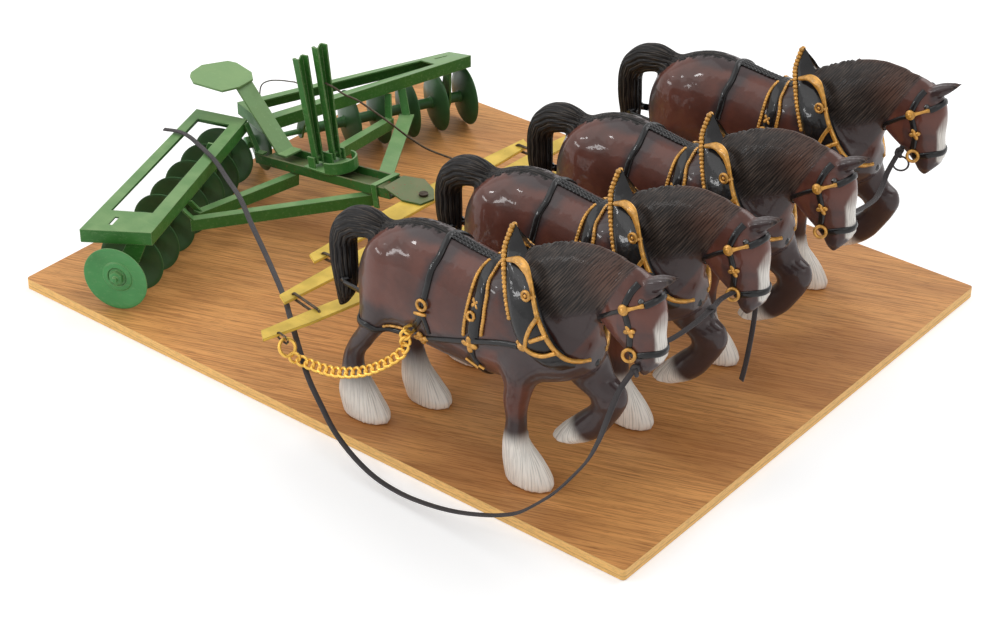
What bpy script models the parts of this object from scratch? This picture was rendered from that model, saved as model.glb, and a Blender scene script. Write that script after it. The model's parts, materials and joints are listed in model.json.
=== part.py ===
"""Horse-drawn disc harrow toy: four draught horses and a two-gang disc harrow on a plywood board.

Lengths are in millimetres until a piece is placed, where MM turns them into Blender's metres.
X runs the way the horses walk, Y away from the near edge, and Z up from the board's underside.
"""

import math

import bmesh
import bpy
from mathutils import Matrix, Vector

MM = 0.001
GAP = 0.3  # left between pieces that touch, and round every pin and axle

# Board
BOARD_LENGTH = 420.0
BOARD_WIDTH = 332.5
BOARD_THICK = 6.35
BOARD_CORNER = 2.0

# Horses: where each one stands and how far it is turned, and the chain hole in each flank
HORSE_SPOTS = ((0.0, -133.0, 0.0), (6.8, -58.3, 0.0), (7.0, 19.4, 0.0), (1.5, 110.3, 2.5))
FLANK_X = 66.4
FLANK_Z = 69.3
FLANK_HALF = 18.2
CHAIN_HOLE = 4.8
CHAIN_HOLE_DEPTH = 5.0

# Evener bars
BAR_WIDTH = 10.0
BAR_THICK = 1.6
MAIN_MIDDLE_WIDTH = 14.0
BAR_TOP = 43.3  # above the board
BAR_POINT = 4.0  # how far the pointed ends reach past the hole's end margin
MAIN_HALF = 82.0  # pivot to hole
DOUBLE_HALF = MAIN_HALF * 0.49024
SINGLE_HALF = MAIN_HALF * 0.34756  # link to staple
END_MARGIN = 5.0
LINK_WIRE = 1.4
LINK_HOLE = LINK_WIRE + 2 * GAP
DOUBLE_LINK = 17.0
SINGLE_LINK = 23.5
STAPLE_WIRE = 1.0
STAPLE_REACH = 6.4
PIVOT = (-46.0, -11.0)
MAIN_YAW = -1.2
DOUBLE_YAWS = (-1.0, -2.0)
SINGLE_YAWS = (-11.0, -3.0, -1.0, -5.0)

# Chains
CHAIN_LINKS = 15
LINK_WIDE = 2.5  # half the width of a link
END_LINK_WIDE = 1.3
CHAIN_WIRE = 1.0
JUMP_RING = 4.6
RING_HANG = (0.55, 0.0, -0.84)  # the way the ring hangs from its staple
CHAIN_PATH = (
    # place along the horse, distance from its mid-plane, height
    (6.0, 31.3, 32.3), (24.3, 29.5, 33.4), (42.7, 27.0, 42.5), (57.5, 25.0, 57.0),
)

# Disc gangs
DISC_RADIUS = 19.0
DISC_DISH = 3.4
DISC_THICK = 1.0
SPOOL = 7.0
AXLE = 3.4
NUT = 8.4
NUT_LONG = 3.0
BOLT_TIP = 1.8
LAST_SPOOL = 3.0
GANGS = {
    # place of disc 1, yaw of the axle, which way is inwards, disc spacing
    "near": dict(spot=(-146.8, -152.5), yaw=21.4, inward=1, spacing=21.4),
    "far": dict(spot=(-141.9, 136.1), yaw=-24.5, inward=-1, spacing=19.8),
}
DISCS_LEFT = {"near": (1, 2, 3, 4, 5, 6, 7, 8), "far": (1, 2, 3, 4, 5, 8)}

# Gang frames: corners as (along the axle, forward of it, above the board)
SHEET = 1.0
FRAME_SKIRT = 8.0
FRAME_FRONT_RAIL = 8.5
FRAME_REAR_RAIL = 7.0
FRAME_OUTER_PLATE = 22.0
FRAME_INNER_PLATE = 10.0
FRAME_CORNERS = {
    "near": ((8.5, 18.0, 45.0), (0.0, -21.0, 45.0), (153.0, -19.0, 45.0), (150.0, 15.0, 45.0)),
    "far": ((-2.3, 11.2, 52.0), (-4.7, -25.8, 38.0), (142.0, -18.6, 38.0), (140.0, 18.0, 41.0)),
}
FRAME_SLOT = (9.0, 2.4)
HANGER_PLACES = {"near": (0.5, 5.5), "far": (0.5, 5.5)}  # in disc spacings from disc 1
HANGER_WIDTH = 9.0
HANGER_THICK = 1.2
HANGER_RIM = 2.6

# Tongue: an open channel that climbs to the hitch plate
TONGUE_WIDTH = 18.0
TONGUE_WALL = 6.0
TONGUE_REAR = (-178.0, -1.8, 19.9)
TONGUE_FRONT = (-64.0, -9.7, 38.6)
HITCH_OUTLINE = (
    (-70.0, -18.0), (-52.0, -22.5), (-41.0, -19.5), (-39.0, -10.0), (-46.0, -2.0), (-58.0, 4.0),
    (-70.0, -0.5),
)
PIN = 2.4
PIN_HEAD = 5.4
PIN_HEAD_THICK = 1.2
HOOK_X = -75.0
HOOK_WIDTH = 4.0
HOOK_LEG = 13.0

# Braces: foot along the gang's axle and forward of it, and where they meet the tongue. The near
# ones end under the channel, the far ones beside its wall.
ANGLE_WIDTH = 5.0
ANGLE_DEPTH = 7.2
BRACE_TAB = 5.0
FLAT_BRACE = 9.0
BRACE_UNDER = 3.5
NEAR_FOOT = 30.0  # heights above the board; a tab joins each foot to the rail above it
FAR_FOOT = 26.0
BRACES = {
    "brace_near_long": dict(gang="near", foot=(51.5, 21.0), x=-80.0),
    "brace_near_inner": dict(gang="near", foot=(61.0, 22.7), x=-144.0),
    "brace_far_inner": dict(gang="far", foot=(55.5, 21.5), x=-140.0),
    "brace_far_flat": dict(gang="far", foot=(46.0, 20.0), x=-88.0, flat=True),
}

# Seat
SEAT_TOP = 65.3
SEAT_OUTLINE = (
    (-225.0, -16.0), (-228.0, -12.0), (-230.0, -1.0), (-222.0, 13.0), (-216.0, 14.5),
    (-200.0, 11.0), (-193.0, 5.0), (-192.0, -8.0), (-196.0, -18.0), (-217.0, -21.0),
)
SEAT_SHEET = 1.2
SEAT_STRAP = 12.5
SEAT_STRAP_TOP = (-197.0, -1.0, 64.2)
SEAT_STRAP_FOOT = (-163.0, -1.5)
SEAT_FOOT_LONG = 9.0

# Slanted strap from the near frame's inner end down to the tongue's rear end
TIE_SHARE = 0.975
TIE_FOOT = -174.0
TIE_WIDTH = 4.0

# Levers and the bracket that they turn in
BRACKET_X = -125.0
BRACKET_HALF = 10.2
BRACKET_BACK = 8.0
BRACKET_FRONT = 11.5
EAR_HEIGHT = 8.0
EAR_LONG = 5.5
QUADRANT_RADIUS = 11.5
QUADRANT_HEIGHT = 7.0
LEVER_PIN = 1.8
LEVER_PIVOT_HEIGHT = 6.0
LEVERS = {
    # pivot forward and sideways in the bracket, length above the pivot, backward lean
    "lever_1": dict(place=(-0.8, -4.6), long=62.0, lean=-10.6),
    "lever_2": dict(place=(4.1, 4.6), long=67.0, lean=-8.4),
}
LEVER_TOP = (8.0, 5.0)
LEVER_BASE = (5.0, 4.4)
LEVER_WALL = 0.9
LEVER_BELOW = 3.0

# Laces
LACE_WIDTH = 3.0
LACE_THICK = 0.8
WIRE_THIN = 0.8

# Edges that turn less than this are shaded as round
ROUND = 50.0
ROUND_HORSE = 85.0

LOOKS = {
    # colour, roughness, metallic
    "wood": ((0.42, 0.20, 0.08), 0.45, 0.0),
    "horse": ((0.10, 0.035, 0.025), 0.25, 0.0),
    "yellow": ((0.80, 0.58, 0.08), 0.45, 0.0),
    "green": ((0.07, 0.24, 0.06), 0.45, 0.0),
    "dark_green": ((0.02, 0.09, 0.03), 0.40, 0.0),
    "dark_metal": ((0.06, 0.06, 0.055), 0.50, 0.8),
    "gold": ((0.80, 0.52, 0.14), 0.30, 1.0),
    "black_lace": ((0.02, 0.02, 0.022), 0.60, 0.0),
}


def clear_scene():
    for obj in list(bpy.data.objects):
        bpy.data.objects.remove(obj, do_unlink=True)


def new_collection(name):
    collection = bpy.data.collections.new(name)
    bpy.context.scene.collection.children.link(collection)
    return collection


clear_scene()
TOY = new_collection("Disc_Harrow_Toy")
CUTTERS = new_collection("Cutters")


def material(look):
    found = bpy.data.materials.get(look)
    if found:
        return found
    colour, roughness, metallic = LOOKS[look]
    made = bpy.data.materials.new(look)
    made.use_nodes = True
    shader = made.node_tree.nodes["Principled BSDF"]
    shader.inputs["Base Color"].default_value = (*colour, 1.0)
    shader.inputs["Roughness"].default_value = roughness
    shader.inputs["Metallic"].default_value = metallic
    made.diffuse_color = (*colour, 1.0)
    return made


# Placing and joining


def in_metres(frame):
    """The same frame with its place turned from millimetres into metres."""
    return Matrix.Translation(frame.translation * MM) @ frame.to_3x3().to_4x4()


def place(name, solid, look, frame, parent=None):
    """Makes a bmesh in millimetres a named object standing at frame."""
    mesh = bpy.data.meshes.new(name)
    bmesh.ops.recalc_face_normals(solid, faces=solid.faces)
    bmesh.ops.scale(solid, vec=(MM, MM, MM), verts=solid.verts)
    limit = math.radians(ROUND_HORSE if look == "horse" else ROUND)
    for face in solid.faces:
        face.smooth = True
    for edge in solid.edges:
        edge.smooth = edge.calc_face_angle(0.0) < limit
    solid.to_mesh(mesh)
    solid.free()
    return place_data(name, mesh, look, frame, parent)


def place_data(name, data, look, frame, parent=None):
    obj = bpy.data.objects.new(name, data)
    if not data.materials:
        data.materials.append(material(look))
    TOY.objects.link(obj)
    if parent:
        obj.parent = parent
        obj.matrix_parent_inverse = Matrix()
        obj.matrix_basis = parent.matrix_basis.inverted() @ in_metres(frame)
    else:
        obj.matrix_basis = in_metres(frame)
    return obj


def pivot_empty(name, frame):
    empty = bpy.data.objects.new(name, None)
    empty.empty_display_size = 10 * MM
    empty.matrix_basis = in_metres(frame)
    TOY.objects.link(empty)
    return empty


def boolean(target, solid, look, frame, operation):
    other = place(f"{target.name}_{operation.lower()}", solid, look, frame)
    TOY.objects.unlink(other)
    CUTTERS.objects.link(other)
    other.hide_render = True
    other.display_type = "WIRE"
    modifier = target.modifiers.new(operation.title(), "BOOLEAN")
    modifier.operation = operation
    modifier.solver = "EXACT"
    modifier.object = other


def fuse(name, look, frame, solids, cuts=(), parent=None):
    """One piece from overlapping solids, with holes cut through all of them."""
    target = place(name, solids[0], look, frame, parent)
    for solid in solids[1:]:
        boolean(target, solid, look, frame, "UNION")
    for cut in cuts:
        boolean(target, cut, look, frame, "DIFFERENCE")
    return target


def baked(obj):
    """The object's mesh with its modifiers worked out, for pieces that share one mesh."""
    bpy.context.view_layer.update()
    graph = bpy.context.evaluated_depsgraph_get()
    return bpy.data.meshes.new_from_object(obj.evaluated_get(graph))


def standing(x, y, z, yaw=0.0):
    return Matrix.Translation((x, y, z)) @ Matrix.Rotation(math.radians(yaw), 4, "Z")


# Shapes, all in millimetres


def block(size, centre=(0, 0, 0), turn=None):
    solid = bmesh.new()
    turn = turn or Matrix()
    scale = Matrix.Diagonal((*size, 1.0))
    bmesh.ops.create_cube(solid, size=1.0, matrix=Matrix.Translation(centre) @ turn @ scale)
    return solid


def cylinder(start, end, diameter, sides=16):
    start, end = Vector(start), Vector(end)
    along = end - start
    turn = along.to_track_quat("Z", "Y").to_matrix().to_4x4()
    solid = bmesh.new()
    bmesh.ops.create_cone(
        solid, cap_ends=True, segments=sides, radius1=diameter / 2, radius2=diameter / 2,
        depth=along.length, matrix=Matrix.Translation((start + end) / 2) @ turn,
    )
    return solid


def slab(outline, low, high, turn=None):
    """A flat outline, given a thickness from low to high."""
    solid = bmesh.new()
    face = solid.faces.new([solid.verts.new((x, y, low)) for x, y in outline])
    grown = bmesh.ops.extrude_face_region(solid, geom=[face])["geom"]
    tops = [item for item in grown if isinstance(item, bmesh.types.BMVert)]
    bmesh.ops.translate(solid, vec=(0, 0, high - low), verts=tops)
    if turn:
        bmesh.ops.transform(solid, matrix=turn, verts=solid.verts)
    return solid


def extruded(section, start, end, up=(0, 0, 1), end_section=None):
    """A section of (across, up) points, carried from start to end."""
    start, end, up = Vector(start), Vector(end), Vector(up)
    along = (end - start).normalized()
    across = along.cross(up).normalized()
    rise = across.cross(along)
    rings = [
        [point + across * a + rise * b for a, b in points]
        for point, points in ((start, section), (end, end_section or section))
    ]
    return loft(rings)


def loft(rings):
    """Closed rings of equally many points, joined in a row and capped."""
    solid = bmesh.new()
    rows = [[solid.verts.new(point) for point in ring] for ring in rings]
    for row, following in zip(rows, rows[1:]):
        for i, vertex in enumerate(row):
            nearby = (i + 1) % len(row)
            solid.faces.new((vertex, row[nearby], following[nearby], following[i]))
    solid.faces.new(rows[0])
    solid.faces.new(rows[-1])
    return solid


def oval(top, bottom, y, half_width, sides):
    """A ring across the mid-plane: from its top to its bottom point, and as wide as given."""
    top, bottom = Vector((top[0], y, top[1])), Vector((bottom[0], y, bottom[1]))
    middle, reach = (top + bottom) / 2, (top - bottom) / 2
    turns = (2 * math.pi * i / sides for i in range(sides))
    return [middle + reach * math.cos(a) + Vector((0, half_width * math.sin(a), 0)) for a in turns]


def turned(profile, sides):
    """A closed (radius, height) profile, turned round Z."""
    solid = bmesh.new()
    points = [solid.verts.new((radius, 0, height)) for radius, height in profile]
    edges = [solid.edges.new((point, points[(i + 1) % len(points)])) for i, point in enumerate(points)]
    bmesh.ops.spin(
        solid, geom=points + edges, cent=(0, 0, 0), axis=(0, 0, 1), angle=2 * math.pi,
        steps=sides, use_merge=True,
    )
    bmesh.ops.remove_doubles(solid, verts=solid.verts, dist=0.0001)
    bmesh.ops.dissolve_degenerate(solid, dist=0.0001, edges=solid.edges)
    lone = [edge for edge in solid.edges if not edge.link_faces]
    bmesh.ops.delete(solid, geom=lone, context="EDGES")
    return solid


def curve_data(name, points, closed=False, diameter=None, flat=None):
    """A round wire of one diameter, or a flat lace of (width, thickness)."""
    curve = bpy.data.curves.new(name, "CURVE")
    curve.dimensions = "3D"
    curve.fill_mode = "FULL"
    curve.use_fill_caps = not closed
    curve.bevel_resolution = 0
    curve.bevel_depth = (flat[1] if flat else diameter) / 2 * MM
    if flat:
        curve.extrude = (flat[0] - flat[1]) / 2 * MM
        curve.twist_mode = "Z_UP"
    spline = curve.splines.new("POLY")
    spline.points.add(len(points) - 1)
    spline.use_cyclic_u = closed
    for point, place_at in zip(spline.points, points):
        point.co = (*(Vector(place_at) * MM), 1.0)
        point.tilt = math.radians(90) if flat else 0.0
    return curve


def wire_loop(points, diameter):
    """A closed wire as a mesh, so that it can be fused to a bar."""
    curve = curve_data("loop", points, closed=True, diameter=diameter)
    holder = bpy.data.objects.new("loop", curve)
    CUTTERS.objects.link(holder)
    mesh = baked(holder)
    bpy.data.objects.remove(holder)
    solid = bmesh.new()
    solid.from_mesh(mesh)
    bmesh.ops.scale(solid, vec=(1 / MM, 1 / MM, 1 / MM), verts=solid.verts)
    bmesh.ops.remove_doubles(solid, verts=solid.verts, dist=0.0001)
    return solid


def long_loop(start, end, low, high, round_by=0.9, y=0.0):
    """Points of a long closed loop in the XZ plane, its corners cut."""
    return [
        (start, y, low + round_by), (start + round_by, y, low), (end - round_by, y, low),
        (end, y, low + round_by), (end, y, high - round_by), (end - round_by, y, high),
        (start + round_by, y, high), (start, y, high - round_by),
    ]


def smooth_path(points, steps):
    """Points along a smooth curve through the given ones, at even distances."""
    ends = [points[0] * 2 - points[1], *points, points[-1] * 2 - points[-2]]
    fine = []
    for a, b, c, d in zip(ends, ends[1:], ends[2:], ends[3:]):
        for i in range(12):
            t = i / 12
            bend = (2 * a - 5 * b + 4 * c - d) * t**2
            turn = (3 * b - a - 3 * c + d) * t**3
            fine.append(0.5 * (2 * b + (c - a) * t + bend + turn))
    fine.append(points[-1])
    reach = [0.0]
    for a, b in zip(fine, fine[1:]):
        reach.append(reach[-1] + (b - a).length)
    found, i = [], 0
    for step in range(steps + 1):
        wanted = reach[-1] * step / steps
        while i < len(fine) - 2 and reach[i + 1] < wanted:
            i += 1
        share = (wanted - reach[i]) / (reach[i + 1] - reach[i])
        found.append(fine[i].lerp(fine[i + 1], min(share, 1.0)))
    return found


# Board


def make_board():
    size = (BOARD_LENGTH, BOARD_WIDTH, BOARD_THICK)
    solid = block(size, (0, 0, BOARD_THICK / 2))
    upright = [edge for edge in solid.edges if abs(edge.verts[0].co.z - edge.verts[1].co.z) > 1]
    bmesh.ops.bevel(solid, geom=upright, offset=BOARD_CORNER, segments=3, affect="EDGES", profile=0.5)
    return place("base_board", solid, "wood", Matrix())


# Horses

BARREL = (
    # place along the body, top, bottom, half width
    (17.5, 96, 72, 9), (21, 105, 63, 14.5), (30, 113.5, 56, 19), (45, 119, 52, 21), (62, 120.5, 53, 20.5),
    (82, 119, 52, 19.5), (102, 116.5, 52, 19.5), (122, 116, 56, 20), (142, 112, 62, 19), (158, 104, 70, 15),
    (167, 95, 78, 8),
)
# The rest of the horse is rings from an upper to a lower point, each with its side place and half width
NECK = (
    ((112, 114), (150, 74), 0, 16), ((120, 124), (162, 82), 0, 15), ((131, 131), (166, 91), 0, 12.5),
    ((146, 136.5), (168, 101), 0, 10), ((163, 139), (171, 109), 0, 8.5), ((180, 139), (176, 112), 0, 8),
)
HEAD = (
    ((176, 138), (166, 113), 0, 7), ((192, 138), (169, 108), 0, 9.5), ((201, 132), (175, 103.5), 0, 10.5),
    ((203, 122), (184, 99), 0, 9), ((202.5, 112), (190, 94), 0, 7), ((204.5, 103), (193, 90), 0, 7),
    ((203, 96), (196, 88.5), 0, 5.5),
)
TAIL = (
    ((42, 118), (37, 107), 0, 5), ((29, 118), (28, 105), 0, 6.5), ((13, 114.5), (20, 102), 0, 7.5),
    ((2, 102), (14, 96), 0, 8), ((-2, 88), (12.5, 86), 0, 8), ((-0.5, 70), (12.5, 71), 0, 7.5),
    ((2.5, 56), (11, 60), 0, 5.5), ((4.5, 49.5), (8.5, 54), 0, 3),
)
LEGS = {
    "right_fore": (
        ((114, 88), (152, 92), -8, 11), ((115, 70), (147, 77), -9.5, 10.5),
        ((117.5, 58), (138, 62), -10, 8.5), ((117.7, 47), (132.6, 47), -10, 7),
        ((119, 36), (130.5, 36), -10, 6), ((117, 24), (133, 24), -10, 7),
        ((117.5, 12), (145, 13), -10, 9.8), ((119, 4), (151, 4), -10, 11),
        ((120.5, 0), (150, 0), -10, 10.5),
    ),
    "left_fore": (
        ((122, 84), (158, 92), 8, 10), ((135, 68), (164, 80), 10, 9.5), ((144, 57), (167, 67.5), 11, 8.5),
        ((152, 52.5), (173.5, 64), 11, 7.5), ((154.5, 50.5), (176.5, 57), 11, 7),
        ((153, 47), (174.5, 50), 11, 6.5), ((149, 42.5), (169, 44.5), 11, 6.5),
        ((144, 37), (168, 38.5), 11, 7.5), ((137.5, 30), (166, 31.5), 11, 9),
        ((135, 23), (157, 23), 11, 8.5),
    ),
    "right_hind": (
        ((22, 88), (62, 96), -9, 11.5), ((20.5, 72), (58, 76), -11, 11), ((24, 57), (46, 57), -13, 9),
        ((19.5, 46), (37, 44), -15, 7), ((16.5, 37), (34, 36), -16, 6.5),
        ((16, 26), (31.5, 26), -16.5, 6.5),
        ((14.5, 13), (41, 14), -17, 9), ((17, 4), (48.5, 4), -17, 11), ((18.5, 0), (47.5, 0), -17, 10.5),
    ),
    "left_hind": (
        ((26, 88), (66, 96), 9, 11), ((28, 68), (66, 76), 11, 10.5), ((33, 56), (58, 58), 13, 8.5),
        ((31.5, 47), (50, 44), 14, 7), ((30.5, 33), (46.5, 33), 14.5, 6.5), ((29, 22), (48.5, 20), 15, 8),
        ((30, 11), (59, 11), 15, 9.8), ((34, 4), (65.5, 4), 15, 11), ((35.5, 0), (64.5, 0), 15, 10.5),
    ),
}
COLLAR_TOP = (116.0, 132.0)
COLLAR_BOTTOM = (166.0, 82.0)
COLLAR_HALF = 18.0
COLLAR_THICK = 3.8
COLLAR_DEEP = 5.5
COLLAR_TIP = (113.0, 139.0)
EAR_ROOT = (191.0, 136.0)
EAR_TIP = (206.0, 142.0)
EAR_SIDE = 6.0


def rings_of(rows, sides):
    return [oval(top, bottom, y, half, sides) for top, bottom, y, half in rows]


def collar_rings(turns=12, sides=4):
    """The collar leans from the withers to the chest, a padded ring round the neck's root."""
    top = Vector((COLLAR_TOP[0], 0, COLLAR_TOP[1]))
    bottom = Vector((COLLAR_BOTTOM[0], 0, COLLAR_BOTTOM[1]))
    middle, long_way = (top + bottom) / 2, (top - bottom) / 2
    facing = long_way.cross(Vector((0, 1, 0))).normalized()
    solid = bmesh.new()
    rows = []
    for i in range(turns):
        turn = 2 * math.pi * i / turns
        out = long_way * math.cos(turn) + Vector((0, COLLAR_HALF * math.sin(turn), 0))
        ring = []
        for k in range(sides):
            round_it = 2 * math.pi * k / sides
            thick = out.normalized() * COLLAR_THICK * math.cos(round_it)
            deep = facing * COLLAR_DEEP * math.sin(round_it)
            ring.append(solid.verts.new(middle + out + thick + deep))
        rows.append(ring)
    for i, row in enumerate(rows):
        following = rows[(i + 1) % turns]
        for k in range(sides):
            nearby = (k + 1) % sides
            solid.faces.new((row[k], row[nearby], following[nearby], following[k]))
    return solid


def collar_tip():
    low = Vector((COLLAR_TOP[0] + 2, 0, COLLAR_TOP[1] - 2))
    high = Vector((COLLAR_TIP[0], 0, COLLAR_TIP[1]))
    solid = bmesh.new()
    along = high - low
    turn = along.to_track_quat("Z", "Y").to_matrix().to_4x4()
    bmesh.ops.create_cone(
        solid, cap_ends=True, segments=6, radius1=COLLAR_DEEP, radius2=1.4, depth=along.length,
        matrix=Matrix.Translation((low + high) / 2) @ turn,
    )
    return solid


def ear(side):
    root = Vector((EAR_ROOT[0], EAR_SIDE * side, EAR_ROOT[1]))
    tip = Vector((EAR_TIP[0], EAR_SIDE * 1.3 * side, EAR_TIP[1]))
    along = tip - root
    turn = along.to_track_quat("Z", "Y").to_matrix().to_4x4()
    solid = bmesh.new()
    bmesh.ops.create_cone(
        solid, cap_ends=True, segments=6, radius1=3.2, radius2=0.6, depth=along.length,
        matrix=Matrix.Translation((root + tip) / 2) @ turn,
    )
    return solid


def chain_hole(side):
    """The bore in the flank that the last chain link hooks into."""
    inside = (FLANK_X, side * (FLANK_HALF - CHAIN_HOLE_DEPTH), FLANK_Z)
    outside = (FLANK_X, side * (FLANK_HALF + 6), FLANK_Z)
    return cylinder(inside, outside, CHAIN_HOLE, sides=8)


def horse_frame(number):
    x, y, yaw = HORSE_SPOTS[number]
    return standing(x, y, BOARD_THICK + GAP, yaw)


def make_horses():
    body = loft([oval((x, top), (x, low), 0, half, 10) for x, top, low, half in BARREL])
    solids = [body, loft(rings_of(NECK, 8)), loft(rings_of(HEAD, 8)), loft(rings_of(TAIL, 6))]
    solids += [loft(rings_of(rows, 6)) for rows in LEGS.values()]
    solids += [collar_rings(), collar_tip(), ear(1), ear(-1)]
    model = fuse("horse_model", "horse", Matrix(), solids, (chain_hole(1), chain_hole(-1)))
    shared = baked(model)
    shared.name = "horse"
    bpy.data.objects.remove(model)
    for number in range(len(HORSE_SPOTS)):
        place_data(f"horse_{number + 1}", shared, "horse", horse_frame(number))


# Eveners

BAR_LOW = BAR_TOP - BAR_THICK


def bar_outline(half, middle_width):
    """A flat bar along Y with pointed ends, and wider at its middle where asked."""
    end, tip = half + END_MARGIN, half + END_MARGIN + BAR_POINT
    narrow, wide = BAR_WIDTH / 2, middle_width / 2
    right = [(wide, -half / 3), (wide, half / 3), (narrow, end), (-narrow / 2, tip)]
    left = [(-wide, half / 3), (-wide, -half / 3), (-narrow, -end), (narrow / 2, -tip)]
    return right + left


def link_loop(reach):
    """The wire through the hole of the bar behind, at the origin, and this bar's middle."""
    high = BAR_THICK / 2 + GAP + LINK_WIRE / 2
    return wire_loop(long_loop(0, reach, -high, high), LINK_WIRE)


def staple(reach, y):
    high = BAR_THICK / 2 + STAPLE_WIRE / 2 + 0.6
    start = reach + BAR_WIDTH / 2 - 2.5
    return wire_loop(long_loop(start, start + 2.5 + STAPLE_REACH, -high, high, y=y), STAPLE_WIRE)


def shifted(solid, vector):
    bmesh.ops.translate(solid, vec=vector, verts=solid.verts)
    return solid


def bar_hole(x, y, diameter):
    return cylinder((x, y, -5), (x, y, 5), diameter, sides=12)


def evener(name, reach, half, yaw, spot, middle_width=BAR_WIDTH, holes=(), staples=False):
    """A bar whose origin is its pivot: its own hole, or the hole of the bar that its link hooks into."""
    bar = slab(bar_outline(half, middle_width), -BAR_THICK / 2, BAR_THICK / 2)
    solids = [shifted(bar, (reach, 0, 0))]
    if reach:
        solids.append(link_loop(reach))
    if staples:
        solids += [staple(reach, -half), staple(reach, half)]
    cuts = [bar_hole(x, y, size) for x, y, size in holes]
    middle = BOARD_THICK + (BAR_TOP + BAR_LOW) / 2
    frame = standing(*spot, middle, yaw)
    fuse(name, "yellow", frame, solids, cuts)
    return frame


def make_eveners():
    """Each bar hangs from the end hole of the one behind it, and gives its staples' frames back."""
    end_holes = [(0, -MAIN_HALF, LINK_HOLE), (0, MAIN_HALF, LINK_HOLE)]
    holes = [(0, 0, PIN + 2 * GAP), *end_holes]
    main = evener("main_evener", 0, MAIN_HALF, MAIN_YAW, PIVOT, MAIN_MIDDLE_WIDTH, holes)
    singles = []
    for number, side in enumerate((-1, 1)):
        spot = (main @ Vector((0, side * MAIN_HALF, 0))).to_2d()
        holes = [(DOUBLE_LINK, way * DOUBLE_HALF, LINK_HOLE) for way in (-1, 1)]
        name = f"doubletree_{number + 1}"
        double = evener(name, DOUBLE_LINK, DOUBLE_HALF, DOUBLE_YAWS[number], spot, BAR_WIDTH, holes)
        for way in (-1, 1):
            count = len(singles)
            spot = (double @ Vector((DOUBLE_LINK, way * DOUBLE_HALF, 0))).to_2d()
            name = f"singletree_{count + 1}"
            single = evener(name, SINGLE_LINK, SINGLE_HALF, SINGLE_YAWS[count], spot, staples=True)
            singles.append(single)
    return singles


def make_hitch_pin():
    """Headed at both ends, through the hitch plate and the main evener."""
    high = BAR_TOP + GAP + SHEET + GAP
    low = BAR_LOW - GAP
    head, shank = PIN_HEAD / 2, PIN / 2
    profile = (
        (0, high + PIN_HEAD_THICK), (head, high + PIN_HEAD_THICK), (head, high), (shank, high),
        (shank, low), (head, low), (head, low - PIN_HEAD_THICK), (0, low - PIN_HEAD_THICK),
    )
    place("hitch_pin", turned(profile, 12), "dark_metal", standing(*PIVOT, BOARD_THICK))


# Chains


def jump_ring(centre, along, level):
    """The round ring between the staple and the first link."""
    turns = [2 * math.pi * (i + 0.5) / 8 for i in range(8)]
    return wire_loop(
        [centre + (along * math.cos(turn) + level * math.sin(turn)) * JUMP_RING for turn in turns],
        CHAIN_WIRE,
    )


def twisted_links(spots):
    """Fused lozenge links that take turns leaning each way; a small waist lies between two links."""
    thin, waist = CHAIN_WIRE / 2, CHAIN_WIRE * 0.6
    rings = []
    for i, spot in enumerate(spots):
        before, after = spots[max(i - 1, 0)], spots[min(i + 1, len(spots) - 1)]
        along = (after - before).normalized()
        level = along.cross(Vector((0, 0, 1))).normalized()
        rise = level.cross(along)
        first, second = (level + rise).normalized(), (level - rise).normalized()
        wide = END_LINK_WIDE if i == len(spots) - 1 else LINK_WIDE
        reach = (wide, thin) if i % 2 else (thin, wide)
        rings.append((spot, first * reach[0], second * reach[1]))
        if i < len(spots) - 1:
            rings.append((spot.lerp(after, 0.5), first * waist, second * waist))
    end = spots[-1] + (spots[-1] - spots[-2]) * 0.35
    rings.append((end, rings[-1][1].normalized() * waist, rings[-1][2].normalized() * waist))
    return loft([[spot + a, spot + b, spot - a, spot - b] for spot, a, b in rings])


def chain_route(single, side, horse):
    """From the jump ring that hangs in the staple, out past the thigh, to the bore in the flank."""
    eye = Vector((SINGLE_LINK + BAR_WIDTH / 2 + STAPLE_REACH / 2, side * SINGLE_HALF, 0))
    hang = Vector(RING_HANG).normalized() * JUMP_RING
    frame = horse_frame(horse)
    hole = Vector((FLANK_X, side * (FLANK_HALF - 1.2), FLANK_Z))
    mouth = hole + Vector((-0.8, side * 6.0, -0.6))
    path = [frame @ Vector((x, side * out, z)) for x, out, z in CHAIN_PATH]
    spots = [single @ (eye + hang * 2), *path, frame @ mouth, frame @ hole]
    return single @ (eye + hang), smooth_path(spots, CHAIN_LINKS - 2)


def make_chain(name, single, side, horse):
    ring, spots = chain_route(single, side, horse)
    along = (spots[0] - ring).normalized()
    level = along.cross(Vector((0, 0, 1))).normalized()
    fuse(name, "gold", Matrix(), [twisted_links(spots), jump_ring(ring, along, level)])


def make_chains(singles):
    for horse, single in enumerate(singles):
        for side, word in ((-1, "near"), (1, "far")):
            make_chain(f"chain_{horse + 1}_{word}", single, side, horse)


# Disc gangs


def gang_frame(name):
    gang = GANGS[name]
    height = BOARD_THICK + GAP + DISC_RADIUS
    return standing(*gang["spot"], height, gang["yaw"])


def along_axle(name, distance=0.0):
    """The gang's frame moved inwards along the axle, its Z turned to point inwards."""
    inward = GANGS[name]["inward"]
    shift = Matrix.Translation((0, inward * distance, 0))
    return gang_frame(name) @ shift @ Matrix.Rotation(math.radians(-90 * inward), 4, "X")


def disc_profile(spool_end):
    bore, spool, half = AXLE / 2 + GAP, SPOOL / 2, DISC_THICK / 2
    return (
        (bore, spool_end), (spool, spool_end), (spool, half), (DISC_RADIUS, half - DISC_DISH),
        (DISC_RADIUS, -half - DISC_DISH), (spool, -half), (bore, -half),
    )


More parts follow.
